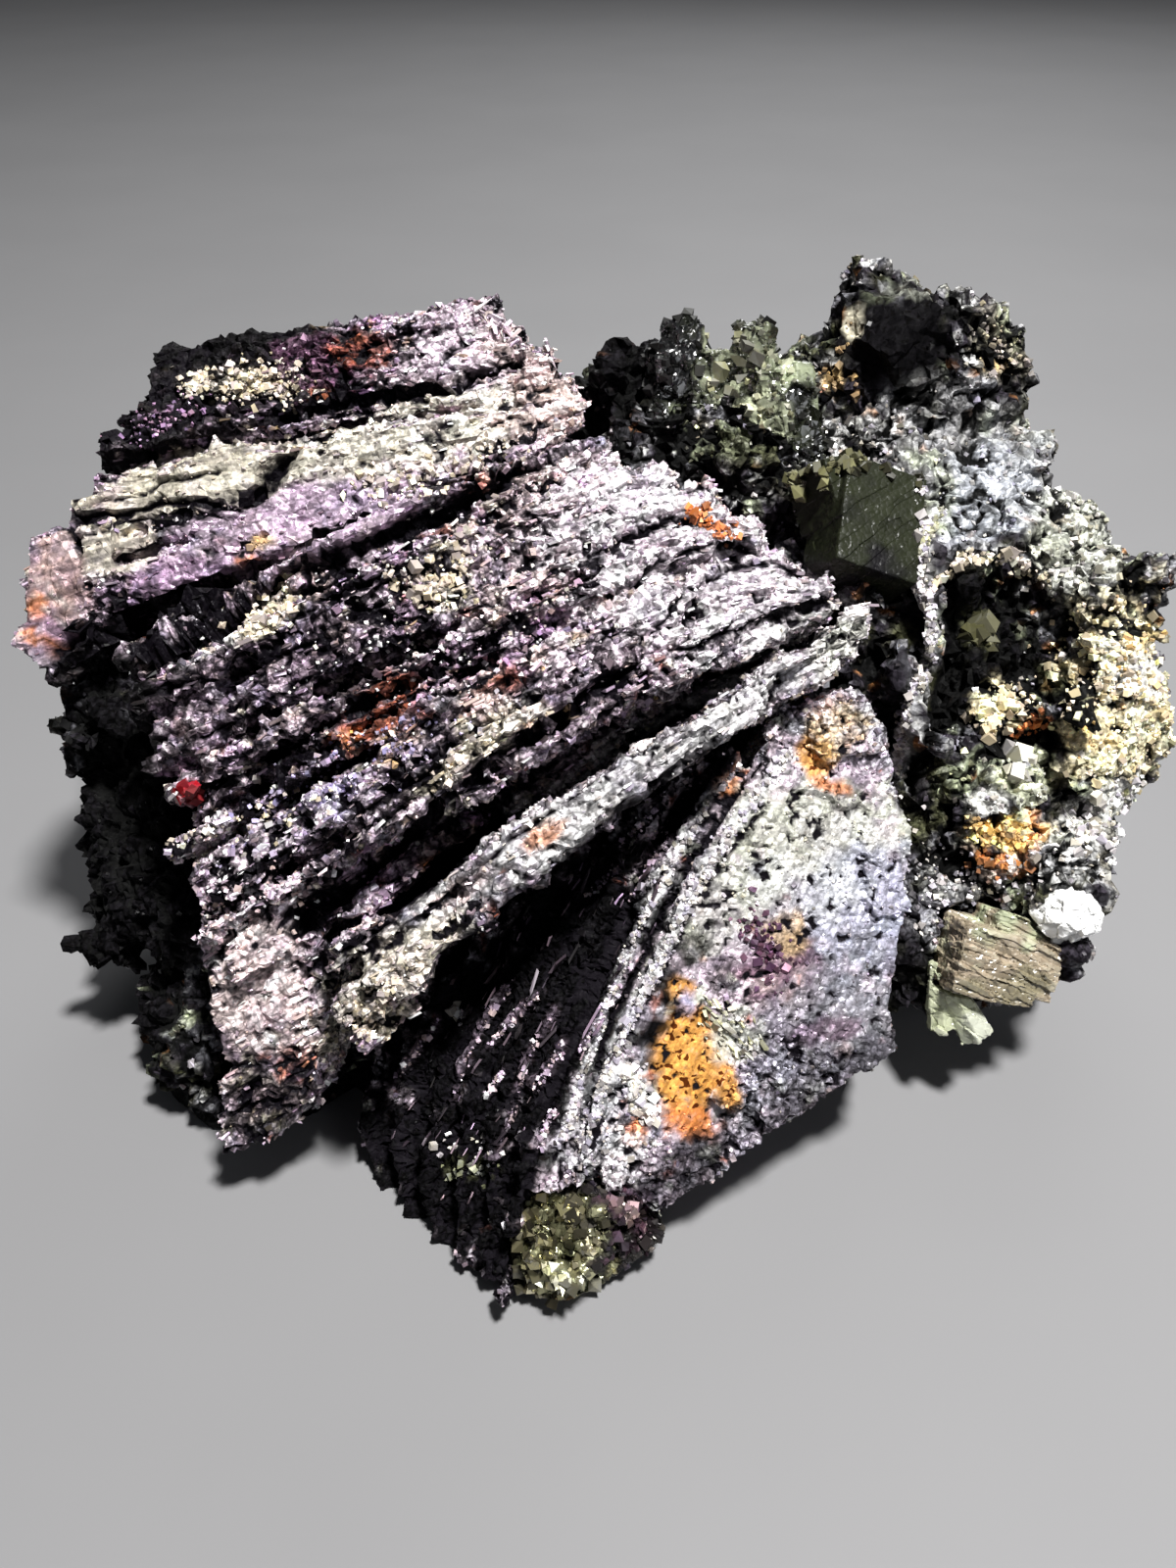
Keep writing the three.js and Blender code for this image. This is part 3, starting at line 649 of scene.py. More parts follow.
def makeOre(name, look):  # metallic grains in the piece's own painted colours
    material, tree, shader = startMaterial(name)
    tone = painted(tree, "tone", "Color")
    dull = painted(tree, "crust")
    relief = painted(tree, "relief")
    calm = painted(tree, "calm")
    tilt, bulge, fineTilt = (spread(tree, calm, 0.0, 1.0, look[part], look[part] * calmed[part])
                             for part in ("tilt", "bulge", "fineTilt"))
    grain = {"Size": look["grain"], "Jumble": 0.6, "Tilt": tilt, "Bulge": bulge}
    coarse = useGroup(tree, grainGroup, grain)
    fineGrain = {"Size": look["fineGrain"], "Jumble": 0.3, "Tilt": fineTilt, "Bulge": 0.3}
    fine = useGroup(tree, grainGroup, fineGrain)
    metal = sums(tree, "SUBTRACT", 1.0, dull)
    film = {"Color": tone, "First film": look["firstFilm"], "Second film": look["secondFilm"],
            "Amount": times(tree, metal, look["film"]), "Size": look["filmSize"]}
    filmed = useGroup(tree, tarnishGroup, film)["Color"]
    coarseShade = spread(tree, coarse["Shade"], 0.0, 1.0, 1 - look["speckle"], 1 + look["speckle"])
    fineShade = spread(tree, fine["Shade"], 0.0, 1.0, 1 - look["fineSpeckle"], 1 + look["fineSpeckle"])
    shade = times(tree, coarseShade, fineShade)
    shade = times(tree, shade, spread(tree, coarse["Body"], 0.0, 1.0, 1 - look["gaps"], 1.0))
    rough = spread(tree, calm, 0.0, 1.0, 1.0, calmed["speckle"])
    shade = times(tree, sums(tree, "SUBTRACT", shade, look["even"]), rough)
    shade = sums(tree, "ADD", shade, look["even"])
    if look["streaks"]:
        leaves = {"Thickness": look["leaf"], "Length": look["leafLength"]}
        streak = useGroup(tree, streakGroup, leaves)["Streak"]
        shade = times(tree, shade, spread(tree, streak, 0.0, 1.0, 1 - look["streaks"], 1.1))
    grey = addNode(tree, "ShaderNodeCombineColor", {0: shade, 1: shade, 2: shade}).outputs[0]
    speckled = blendColours(tree, 1.0, filmed, grey, "MULTIPLY")
    # Painted shade in small holes of the crust.
    holes = noise(tree, 2300.0, 1.0, objectPlace(tree))["Fac"]
    spongy = times(tree, spread(tree, holes, 0.42, 0.36), spread(tree, dull, 0.50, 0.92))
    speckled = blendColours(tree, spongy, speckled, (0.12, 0.06, 0.03, 1), "MULTIPLY")
    # Painted shade in the low places and a painted highlight on the raised ones.
    pitShading = {"Color": speckled, "Pit color": look["pit"], "Edge color": look["edge"], "Relief": relief,
            "Pits": look["pits"], "Edges": look["edges"]}
    shadedColour = useGroup(tree, pitShadeGroup, pitShading)["Color"]
    tree.links.new(shadedColour, shader["Base Color"])
    shader["Specular IOR Level"].default_value = look["specular"]
    tree.links.new(times(tree, metal, look["metal"]), shader["Metallic"])
    shine = spread(tree, fine["Shade"], 0.0, 1.0, look["gloss"], look["gloss"] + 0.35)
    shine = sums(tree, "ADD", shine, times(tree, dull, 0.45), clamp=True)
    tree.links.new(shine, shader["Roughness"])
    both = vectors(tree, "ADD", coarse["Normal"], fine["Normal"])
    tree.links.new(vectors(tree, "NORMALIZE", both), shader["Normal"])
    return material


# The big crystal: plates on edge that fan out to the left. Each line follows the plates across the picture.
stackLay = {
    "crest": {"x": [0, 330, 600, 1200], "y": [470, 385, 320, 200], "level": 0},
    "ledge": {"x": [0, 75, 330, 590, 1200], "y": [515, 490, 440, 402, 330], "level": 5},
    "recess": {"x": [0, 130, 300, 450, 560, 640, 900], "y": [665, 620, 580, 515, 465, 432, 440], "level": 11},
    "middle": {"x": [0, 165, 400, 560, 700, 800, 900], "y": [860, 795, 680, 605, 555, 548, 585], "level": 20},
    "gap": {"x": [0, 200, 340, 460, 640, 800, 905, 1200],
            "y": [1200, 1070, 980, 870, 745, 670, 625, 560], "level": 31},
    "lip": {"x": [0, 200, 330, 600, 810, 900], "y": [1310, 1180, 1090, 910, 722, 680], "level": 36},
    "low": {"x": [0, 200, 430, 600, 800, 900], "y": [1480, 1310, 1120, 1000, 790, 740], "level": 42},
}
# Grooves cut into the stone, which makePiece also paints dark as shade.
stackGrooves = {
    "under the crest": line([80, 160, 240, 300, 330, 400, 470, 530],
                            [470, 460, 440, 422, 414, 404, 392, 372], 7, 1.0),
    "hole in the ledge": line([252, 292], [517, 462], 11, 1.3),
    "below the ledge": line([66, 120, 165, 215, 250], [532, 524, 512, 512, 522], 3.5, 0.5),
    "line in the ledge": line([95, 165, 230], [515, 495, 482], 2, 0.25, much=0.7),
    "line under the ledge": line([75, 160], [549, 527], 2, 0.25, much=0.7),
    "knob gap": line([68, 78], [525, 570], 5, 0.8),
    "step by the lilac": line([120, 165], [575, 552], 4, 0.5),
    "recess": line([60, 150, 230, 270, 370, 440, 480, 560, 600],
                   [655, 628, 605, 592, 556, 524, 508, 468, 447], 9, 1.6),
    "wide recess": line([45, 100, 150, 210, 290], [672, 654, 638, 618, 594], 20, 1.6),
    "dark by the pale lump": line([150, 215, 260, 330, 400], [665, 640, 612, 605, 590], 6, 0.8, much=0.9),
    "line below the lump": line([160, 240, 330], [700, 690, 650], 3, 0.4, much=0.8),
    "arc by the ridge": line([566, 578, 600, 616], [478, 455, 436, 434], 5, 0.7),
    "arc two": line([612, 645, 690, 745], [566, 546, 530, 540], 3.6, 0.4, much=0.9),
    "arc three": line([640, 680, 730, 775], [604, 572, 556, 566], 3.6, 0.4, much=0.9),
    "arc four": line([660, 700, 740, 790, 835], [650, 606, 583, 575, 594], 3.6, 0.4, much=0.9),
    "arc five": line([690, 740, 800, 850, 900], [664, 650, 628, 612, 616], 4.5, 0.6),
    "arc six": line([690, 730, 800, 860], [708, 690, 668, 650], 3.5, 0.5, much=0.8),
    "long gap": line([290, 340, 385, 440, 520, 570, 620, 655], [955, 918, 880, 835, 772, 738, 700, 666], 10,
                     1.5),
    "gap above the lip": line([310, 350, 400, 440, 475, 520], [1000, 972, 930, 893, 860, 830], 11, 1.6),
    "gap of the beads": line([150, 235, 300, 345, 400], [838, 815, 802, 788, 760], 7, 1.0, much=0.9),
    "second gap of the beads": line([235, 300, 345, 400, 450], [905, 872, 848, 812, 782], 6, 0.8, much=0.9),
    "third gap of the beads": line([280, 310, 355], [948, 928, 895], 7, 0.8, much=0.9),
    "gap in the middle": line([390, 450, 520, 600], [795, 765, 725, 690], 4, 0.6, much=0.8),
    "fine gap in the middle": line([180, 250, 330, 400], [760, 735, 715, 690], 4, 0.5, much=0.8),
    "under the lip": line([445, 500, 560, 600, 640, 700, 760, 810], [987, 946, 910, 870, 840, 802, 760, 730],
                          17, 1.3),
    "line in the lip": line([430, 520, 600, 680, 760], [935, 862, 800, 740, 700], 3, 0.4, much=0.7),
    "line at the crest": line([130, 190, 235, 300], [450, 430, 422, 398], 4, 0.6, much=0.9),
}
stackShape = {
    "voxel": 0.21, "triangles": 190000, "seed": 11, "lay": stackLay, "grooves": stackGrooves, "contrast": 0.9,
    "rim": (0.35, 1.3), "cavities": (1.4, 0.36, 0.29),
    "calm": {
        "left ledge": area((200, 490), (135, 28), 0.9, turn=13),
        "low left ledge": area((115, 560), (50, 26), 0.9, turn=18),
        "lilac face": area((290, 542), (170, 50), 0.75, turn=17),
        "right ledge": area((445, 445), (140, 36), 0.65, turn=13),
        "knob": area((52, 610), (36, 72), 0.95),
        "right end": area((740, 560), (190, 110), 0.5, turn=-14),
        "lip": area((640, 795), (310, 42), 0.55, turn=34),
        "peak": area((500, 380), (90, 50), 0.5, turn=-30),
        "foot": area((262, 1010), (50, 75), 0.5),
    },
    "lumps": (5.5, 0.30),  # size and height, in mm
    "plates": ((4.6, 1.15, 4.0), 0.55, 0.35),  # size along, across and deep, then rise and tilt
    "leaves": ((2.0, 0.55, 2.0), 0.34, 0.30),
    "blocks": (1.15, 0.42, 0.6),
    "grain": (0.50, 0.16, 0.3),
    "bead": 0.16,
    "gaps": 0.30,
    "plated": {"x": (520, 720), "y": (620, 500)},  # plates grow clearer between these pixels
}
stackColours = {"ground": ("silver", "violet", "umber"), "specks": {
    "umber": (2.3, 0.34), "pinkCream": (1.3, 0.46), "rust": (0.9, 0.62), "cream": (0.8, 0.58),
    "steel": (1.1, 0.50), "gold": (0.6, 0.70), "ink": (0.9, 0.50),
}, "patches": {
    # Painted shade: black on the crest, which turns from the light.
    "dark crest": patch((205, 390), (180, 66), "black", 0.97, turn=18, wrap=True),
    "dark middle left": patch((250, 715), (150, 80), "umber", 0.7, turn=22),
    "middle dark": patch((430, 640), (190, 60), "umber", 0.35, turn=22),
    "left dark": patch((220, 720), (90, 60), "umber", 0.5, turn=20),
    "lilac on the second slab": patch((290, 540), (180, 52), "lilac", 0.7, turn=17),
    "lilac light": patch((345, 505), (110, 34), "lilac", 0.8, turn=20),
    "dark of the second slab": patch((180, 588), (70, 20), "violet", 0.7, turn=14),
    "peak": patch((500, 385), (110, 62), "rosyLilac", 0.85, turn=-32),
    "left ledge": patch((200, 490), (140, 30), "oldIvory", 0.9, turn=13),
    "low left ledge": patch((115, 560), (50, 26), "oldIvory", 0.8, turn=18),
    "right ledge": patch((430, 440), (150, 36), "ivory", 0.9, turn=13),
    "end of the right ledge": patch((560, 425), (50, 36), "pinkCream", 0.8),
    "under the right ledge": patch((560, 500), (80, 36), "pinkCream", 0.6, turn=20),
    "crest crystals": patch((265, 392), (40, 14), "cream", 0.6, turn=5),
    "crest lilac": patch((165, 428), (30, 8), "violet", 0.4, turn=22),
    # Painted shade: black on the rear slope of the crest.
    "dark rear crest": patch((190, 352), (130, 24), "black", 0.95, turn=12, wrap=True),
    "dark by the rust": patch((325, 380), (50, 36), "deepViolet", 0.8, turn=12),
    "rust at the crest": patch((372, 355), (30, 18), "rust", 0.8),
    "rust below the crest": patch((325, 405), (12, 8), "orange", 0.8),
    "rust in the middle": patch((360, 755), (34, 20), "rust", 0.95, turn=20),
    "rust above the middle": patch((402, 718), (32, 28), "rust", 0.95, turn=35),
    "orange in the rust": patch((352, 752), (16, 10), "orange", 0.8),
    "rust by the middle": patch((505, 690), (28, 14), "rust", 0.6),
    "gold edge": patch((264, 552), (12, 7), "gold", 0.8),
    "orange by the recess": patch((250, 572), (14, 9), "orange", 0.7),
    "orange by the right ledge": patch((490, 498), (18, 16), "orange", 0.6),
    "orange on the right": patch((737, 533), (28, 11), "orange", 0.95, turn=-30),
    "orange at the tip": patch((818, 538), (12, 10), "orange", 0.9),
    "rust at the tip": patch((800, 570), (24, 8), "rust", 0.7, turn=-10),
    "red bead": patch((193, 806), (14, 13), "deepRed", 1.0),
    "pale lump": patch((270, 625), (38, 18), "cream", 0.9, turn=30),
    "pale lump right": patch((455, 605), (20, 16), "cream", 0.8),
    "pale crumbs": patch((195, 662), (50, 14), "greyWhite", 0.6, turn=25),
    "brown lump": patch((388, 1035), (26, 24), "gold", 0.8),
    "brown block": patch((438, 880), (13, 13), "orange", 0.75),
    "blue glints": patch((300, 835), (70, 34), "blueViolet", 0.7, turn=35),
    "cream beads": patch((215, 870), (60, 32), "cream", 0.5, turn=32),
    "cream beads low": patch((260, 920), (70, 24), "pinkCream", 0.5, turn=35),
    "pale streak": patch((490, 760), (80, 18), "cream", 0.7, turn=35),
    "pale middle": patch((600, 580), (100, 60), "pinkCream", 0.5, turn=20),
    "pale right": patch((735, 570), (185, 112), "paleSilver", 0.97, turn=-14),
    "pale lower left": patch((235, 905), (105, 75), "rosyLilac", 0.92, turn=32),
    "foot": patch((262, 1005), (56, 80), "rosyBeige", 0.85),
    "olive foot": patch((268, 1130), (50, 36), "olive", 0.8),
    "rust on the foot": patch((300, 1085), (22, 16), "rust", 0.7),
    "knob": patch((52, 610), (36, 70), "rosyBrown", 0.85),
    "knob shade": patch((50, 650), (26, 26), "violet", 0.6),
    "knob edge": patch((42, 655), (20, 8), "orange", 0.8, turn=-25),
    "knob dots": patch((38, 618), (10, 12), "orange", 0.7),
    "lip": patch((640, 790), (310, 40), "greyWhite", 0.85, turn=34),
    "lip cream": patch((400, 1000), (90, 40), "oldIvory", 0.8, turn=38),
    "orange under the lip": patch((552, 855), (22, 10), "orange", 0.7, turn=30),
    "rust under the lip": patch((475, 905), (40, 12), "pinkCream", 0.7, turn=32),
    "right end": patch((860, 655), (50, 40), "greyGreen", 0.7),
    "fuzzy edge": patch((548, 378), (70, 30), "pinkCream", 0.8, turn=-45),
    "pink ridge": patch((710, 465), (60, 22), "pinkCream", 0.7, turn=-25),
    # Painted shade: black on the left flank, and painted shadow under the knob.
    "left flank": patch((100, 800), (60, 170), "black", 0.95, turn=-14, wrap=True),
    "under the knob": patch((90, 690), (55, 36), "black", 0.95, wrap=True),
}, "lines": {"white": {
    "scratch": line([30, 72], [588, 618], 1.6, much=0.8),
    "second scratch": line([28, 66], [602, 640], 1.4, much=0.7),
}}}
stackLook = {
    "grain": 0.00036, "tilt": 0.45, "bulge": 0.9, "fineGrain": 0.00016, "fineTilt": 0.40,
    "speckle": 0.50, "fineSpeckle": 0.32, "gaps": 0.70, "even": 0.80,
    "streaks": 0.45, "leaf": 0.32, "leafLength": 2.6,
    "firstFilm": (0.44, 0.31, 0.46, 1), "secondFilm": (0.24, 0.25, 0.42, 1), "film": 0.35, "filmSize": 0.0022,
    "pit": (0.004, 0.003, 0.005, 1), "edge": (0.90, 0.84, 0.86, 1), "pits": 1.0, "edges": 0.40,
    "metal": 0.6, "gloss": 0.16, "specular": 0.12,
}


def stackForm(shown, pixels, shape):
    seed = shape["seed"]
    laid = layFor(shown, pixels, shape)
    laid[:, 1] += 0.35 * swell(shown, 6, seed) + 0.12 * swell(shown, 2, seed + 1)
    clearer = shape["plated"]
    plated = 0.35 + 0.65 * ease(*clearer["x"], pixels[:, 0]) + 0.4 * ease(*clearer["y"], pixels[:, 1])
    plated = np.clip(plated, 0, 1)
    plates, _, plateEdge = facets(laid, shape["plates"], seed + 10, 0.75)
    leaves, _, _ = facets(laid, shape["leaves"], seed + 20, 0.65)
    blocks, blockLot, blockEdge = facets(shown, shape["blocks"], seed + 30, 0.3)
    grain, grainLot, grainEdge = facets(shown, shape["grain"], seed + 40, 0.2)
    gaps = seams(plateEdge) * plated + 0.7 * seams(blockEdge, 0.14) * (1.2 - plated)
    depth = shape["lumps"][1] * swell(shown, shape["lumps"][0], seed + 50)
    depth += (plates + leaves) * (0.3 + 0.7 * plated) + blocks * (1.5 - 0.85 * plated) + grain
    depth += shape["bead"] * (ease(0, 0.35, grainEdge) - 0.6) - shape["gaps"] * gaps
    return depth, gaps, 0.55 + 0.5 * blockLot + 0.5 * grainLot, -0.1


stack = makePiece("pyrrhotite_stack", "striated_stack", stackShape, stackForm,
                  stackColours, makeOre("striated pyrrhotite", stackLook))


# The lower crystal: one broad grainy face, and steep leaves in the hollow to its left.
bladeGrooves = {
    "beside the pale ridge": line([552, 578, 612, 652, 700, 765], [1160, 1080, 985, 898, 815, 745], 8, 1.0),
    "between the bands": line([590, 612, 646, 688, 734, 790], [1150, 1080, 995, 912, 835, 760], 3.5, 0.6),
    "inside the pale ridge": line([640, 680, 722, 780], [1070, 985, 905, 825], 3, 0.4, much=0.8),
    "below the orange": line([808, 838, 866, 884], [806, 812, 830, 822], 4, 0.3, much=0.45),
}
rodSize = {"wide": 3.0, "deep": -0.4, "much": 0.35}
# Thin plates on edge in the hollow, raised and painted pale lilac; the pale colour also stands in for their
# glint.
bladeRods = {
    "rod one": line([405, 450], [1100, 1038], **rodSize),
    "rod two": line([462, 486, 524], [1122, 1062, 998], **rodSize),
    "rod three": line([498, 552], [1068, 1012], **rodSize),
    "rod four": line([500, 526, 538, 566], [1192, 1130, 1080, 1028], **rodSize),
    "rod five": line([546, 576], [1112, 1060], **rodSize),
    "rod six": line([494, 516], [1118, 1092], **rodSize),
    "rod seven": line([590, 618, 646], [1075, 1030, 980], **rodSize),
    "rod eight": line([548, 566], [1172, 1128], **rodSize),
    "rod nine": line([640, 664, 684], [922, 880, 846], **rodSize),
    "rod ten": line([600, 636], [915, 878], **rodSize),
    "rod eleven": line([632, 668], [862, 826], **rodSize),
}
bladeShape = {
    "voxel": 0.21, "triangles": 100000, "seed": 71, "steep": 62, "contrast": 0.9, "rim": (0.75, 2.4),
    "cavities": (0.60, 0.22, 0.33), "healed": 0.2,
    "calm": {
        "limonite": area((700, 1080), (50, 85), 0.95),
        "face": area((845, 920), (135, 175), 0.72, turn=30),
        "ridge": area((660, 1010), (190, 26), 0.6, turn=62),
    },
    "grooves": {**bladeGrooves, **bladeRods},
    "lumps": (4.5, 0.25), "leaves": ((4.5, 0.8, 2.5), 0.5, 0.4), "blocks": (1.1, 0.26, 0.4),
    "grain": (0.5, 0.17, 0.35),
    "ridge": {"y": [700, 1200], "x": [830, 610], "wide": 30},  # the leaves are left of it, the face is right
}
bladeColours = {"ground": ("silver", "steel", "umber"), "specks": {
    "steel": (1.6, 0.40), "greyGreen": (0.9, 0.50), "rust": (0.7, 0.66), "ink": (0.6, 0.52),
}, "patches": {
    "grey green": patch((835, 850), (100, 55), "sage", 0.85),
    "grey green left": patch((740, 920), (60, 50), "sage", 0.7, turn=50),
    "blue white": patch((890, 935), (66, 76), "blueWhite", 0.8),
    "pale middle": patch((810, 905), (60, 36), "greyWhite", 0.4),
    "brown by the purple": patch((800, 1005), (40, 26), "rosyBrown", 0.55),
    "blue grey": patch((840, 1060), (120, 62), "steel", 0.8, turn=32),
    "purple": patch((782, 966), (34, 42), "deepViolet", 0.8, ragged=1.8),
    "pink by the purple": patch((800, 950), (20, 24), "gold", 0.55),
    "purple low": patch((850, 1050), (40, 12), "deepViolet", 0.6, turn=10),
    "limonite body": patch((700, 1085), (34, 58), "limonite", 1.0, ragged=0.7),
    "limonite top": patch((690, 1008), (22, 10), "limonite", 0.95, turn=5),
    "limonite right": patch((742, 1105), (14, 26), "limonite", 0.95, turn=10),
    "limonite low": patch((705, 1145), (28, 16), "orange", 0.9, turn=-20),
    "limonite foot": patch((650, 1152), (11, 18), "orange", 0.85, turn=-25),
    "orange high": patch((832, 772), (16, 24), "limonite", 0.9, turn=40),
    "orange line": patch((850, 803), (22, 7), "orange", 0.85, turn=-20),
    "gold neck": patch((858, 745), (34, 28), "gold", 0.5),
    "orange seam": patch((742, 800), (22, 15), "orange", 0.85, turn=52),
    "orange seam high": patch((766, 762), (16, 8), "orange", 0.8, turn=52),
    "white crystals": patch((652, 1115), (14, 26), "white", 0.7),
    "blue dot": patch((702, 1022), (9, 12), "blueViolet", 0.6),
    "green blades": patch((752, 1062), (26, 26), "greyGreen", 0.7),
    "purple foot": patch((635, 1228), (26, 18), "deepViolet", 0.8),
    "pale foot": patch((620, 1180), (40, 30), "greyWhite", 0.6),
    "dark rim": patch((690, 1200), (70, 22), "ink", 0.85, turn=40),
    "dark rim right": patch((850, 1105), (90, 26), "ink", 0.7, turn=30, wrap=True),
    # Painted shadow: black in the hollow under the lip and low down to its left.
    "hollow": patch((545, 1020), (225, 112), "black", 1.0, turn=54, wrap=True),
    "low hollow": patch((460, 1210), (130, 80), "black", 1.0, turn=-35, wrap=True),
    "green under": patch((480, 1190), (24, 12), "olive", 0.8),
}, "lines": {"lilac": bladeRods, "greyWhite": {
    "pale ridge": line([592, 622, 658, 700, 748, 806], [1175, 1090, 1010, 925, 845, 765], 8, much=0.95),
    "second band": line([572, 600, 634, 676, 720, 782], [1165, 1080, 985, 900, 822, 750], 4.5, much=0.9),
    "broken band": line([660, 700, 740], [905, 845, 790], 3.5, much=0.7),
    "pale foot of the ridge": line([585, 600, 628], [1195, 1150, 1080], 18, much=0.8),
}}}
bladeLook = {
    "grain": 0.00031, "tilt": 0.42, "bulge": 0.7, "fineGrain": 0.00015, "fineTilt": 0.38,
    "speckle": 0.45, "fineSpeckle": 0.3, "gaps": 0.6, "even": 0.76,
    "streaks": 0.25, "leaf": 0.35, "leafLength": 2.2,
    "firstFilm": (0.42, 0.36, 0.50, 1), "secondFilm": (0.44, 0.46, 0.55, 1), "film": 0.35, "filmSize": 0.004,
    "pit": (0.006, 0.005, 0.007, 1), "edge": (0.88, 0.88, 0.93, 1), "pits": 1.0, "edges": 0.40,
    "metal": 0.5, "gloss": 0.20, "specular": 0.05,
}


def bladeForm(shown, pixels, shape):
    seed = shape["seed"]
    laid = layFor(shown, pixels, shape)
    laid[:, 1] += 0.3 * swell(shown, 5, seed)
    ridge = shape["ridge"]
    beside = pixels[:, 0] - np.interp(pixels[:, 1], ridge["y"], ridge["x"])
    leafy = 0.1 + 0.9 * ease(ridge["wide"], -ridge["wide"], beside)
    leaves, _, leafEdge = facets(laid, shape["leaves"], seed + 10, 0.7)
    blocks, blockLot, blockEdge = facets(shown, shape["blocks"], seed + 20, 0.3)
    grain, grainLot, _ = facets(shown, shape["grain"], seed + 30, 0.2)
    gaps = seams(leafEdge) * leafy + 0.5 * seams(blockEdge, 0.1) * (1 - leafy)
    depth = shape["lumps"][1] * swell(shown, shape["lumps"][0], seed + 40)
    depth += leaves * leafy + blocks + grain - 0.3 * gaps
    return depth, gaps, 0.65 + 0.35 * blockLot + 0.45 * grainLot, -0.1


blades = makePiece("pyrrhotite_blades", "steep_blades", bladeShape, bladeForm,
                   bladeColours, makeOre("smooth pyrrhotite", bladeLook))


# The mixed rock behind and to the right: black ore, pale crusts and small crystals in pits.
rockShape = {
    "voxel": 0.24, "triangles": 145000, "seed": 131, "contrast": 0.6, "rim": (0.5, 1.6),
    "cavities": (1.6, 0.45, 0.24),
    "calm": {
        "black block": area((915, 345), (62, 58), 0.92),
        "white band": area((1010, 480), (115, 75), 0.5, turn=-30),
        "cream and gold": area((1145, 710), (62, 90), 0.5),
        "vein": area((940, 650), (26, 140), 0.7, turn=-6),
        "glow": area((1020, 830), (40, 50), 0.35),
        "low white": area((1145, 840), (50, 46), 0.5),
    },
    "grooves": {
        "arch": line([950, 985, 1030, 1060], [600, 575, 572, 600], 6, 0.8),
        "beside the vein": line([925, 935, 940, 915, 905], [580, 640, 680, 730, 790], 7, 0.8),
        "beyond the vein": line([968, 975, 960, 940], [590, 660, 720, 790], 7, 0.8),
    },
    "lumps": (6.0, 0.45), "rocks": (2.6, 0.9, 1.0), "blocks": (1.2, 0.55, 0.8), "grain": (0.55, 0.24, 0.4),
    "pits": (2.6, 1.1),
}
rockColours = {"ground": ("ink", "olive", "steel"), "behind": ("steel", "honey", "umber"), "specks": {
    "jade": (1.8, 0.45), "greyWhite": (0.9, 0.60), "brownOrange": (0.8, 0.66), "steel": (1.2, 0.50),
}, "patches": {
    # Painted shadow cast by the big crystal: black left of the crown.
    "black crown left": patch((655, 370), (50, 50), "black", 0.95, wrap=True),
    "crown": patch((750, 400), (70, 60), "jade", 0.8),
    "under the crown": patch((800, 470), (80, 30), "olive", 0.7, turn=-20),
    "grains by the crown": patch((870, 455), (60, 26), "greyWhite", 0.6, turn=15),
    "black block": patch((915, 345), (62, 60), "black", 1.0, wrap=True),
    "block top": patch((935, 296), (42, 6), "greyGreen", 0.25),
    "yellow dots": patch((868, 330), (10, 12), "cream", 0.7),
    "low yellow dots": patch((850, 388), (8, 14), "gold", 0.7),
    "golden cream": patch((1022, 350), (28, 40), "cream", 0.22),
    "gold dot": patch((1018, 372), (12, 8), "gold", 0.8),
    "grey white band": patch((1000, 465), (110, 62), "greyWhite", 0.26, turn=-25),
    "bluish white": patch((1015, 500), (50, 60), "bluish", 0.5, turn=-30),
    "green yellow": patch((1095, 550), (44, 56), "greyGreen", 0.6),
    "dark olive": patch((890, 540), (50, 60), "olive", 0.9),
    # Painted shadow: black in the hollow under the arch.
    "dark hollow": patch((1005, 655), (50, 80), "black", 1.0, wrap=True),
    "olive in the hollow": patch((998, 645), (18, 24), "olive", 0.9),
    "cream and gold": patch((1145, 710), (62, 90), "creamGold", 1.0),
    "white in the cream": patch((1150, 690), (36, 40), "white", 0.6),
    "orange in the cream": patch((1120, 755), (20, 10), "gold", 0.6),
    "orange high in the cream": patch((1165, 650), (14, 12), "amber", 0.6),
    "dark in the cream": patch((1110, 820), (26, 14), "ink", 0.8, turn=30, ragged=1.6),
    "grey blue white": patch((1145, 840), (50, 46), "white", 0.75),
    "orange cream crystals": patch((1030, 725), (34, 26), "creamGold", 0.8, turn=-30),
    "orange of the crystals": patch((1055, 740), (16, 10), "orange", 0.7),
    "pale clear crystal": patch((1040, 785), (24, 36), "paleGreen", 0.8),
    "white glow": patch((1010, 818), (20, 15), "white", 0.9),
    "gold of the glow": patch((1022, 850), (36, 20), "amber", 0.9, turn=10, ragged=1.7),
    "dark of the glow": patch((1000, 872), (24, 7), "brownOrange", 0.9, turn=-20),
    "orange by the glow": patch((1052, 846), (8, 22), "orange", 0.7),
    "brown orange": patch((1030, 884), (28, 10), "brownOrange", 0.8),
    "black granular": patch((975, 900), (56, 56), "steel", 0.6),
    "grey grains": patch((1080, 880), (40, 24), "greyWhite", 0.5, turn=20),
    # Painted shadow cast by the lower crystal, then painted shade on the left and low flanks: all black.
    "dark under": patch((925, 1000), (30, 50), "black", 0.8),
    "left flank": patch((110, 930), (120, 290), "black", 1.0, turn=-20, wrap=True),
    "low flank": patch((380, 1190), (150, 80), "black", 1.0, turn=-20, wrap=True),
    # Painted shadow cast by the big crystal: black at the far top.
    "far top": patch((620, 400), (60, 50), "black", 0.9),
}, "lines": {"greyWhite": {
    "vein": line([945, 940, 952, 945, 925, 915], [530, 590, 640, 680, 720, 790], 6, -0.3, much=0.95),
    "vein from the top": line([915, 940, 955], [605, 560, 520], 5, much=0.8),
}}}
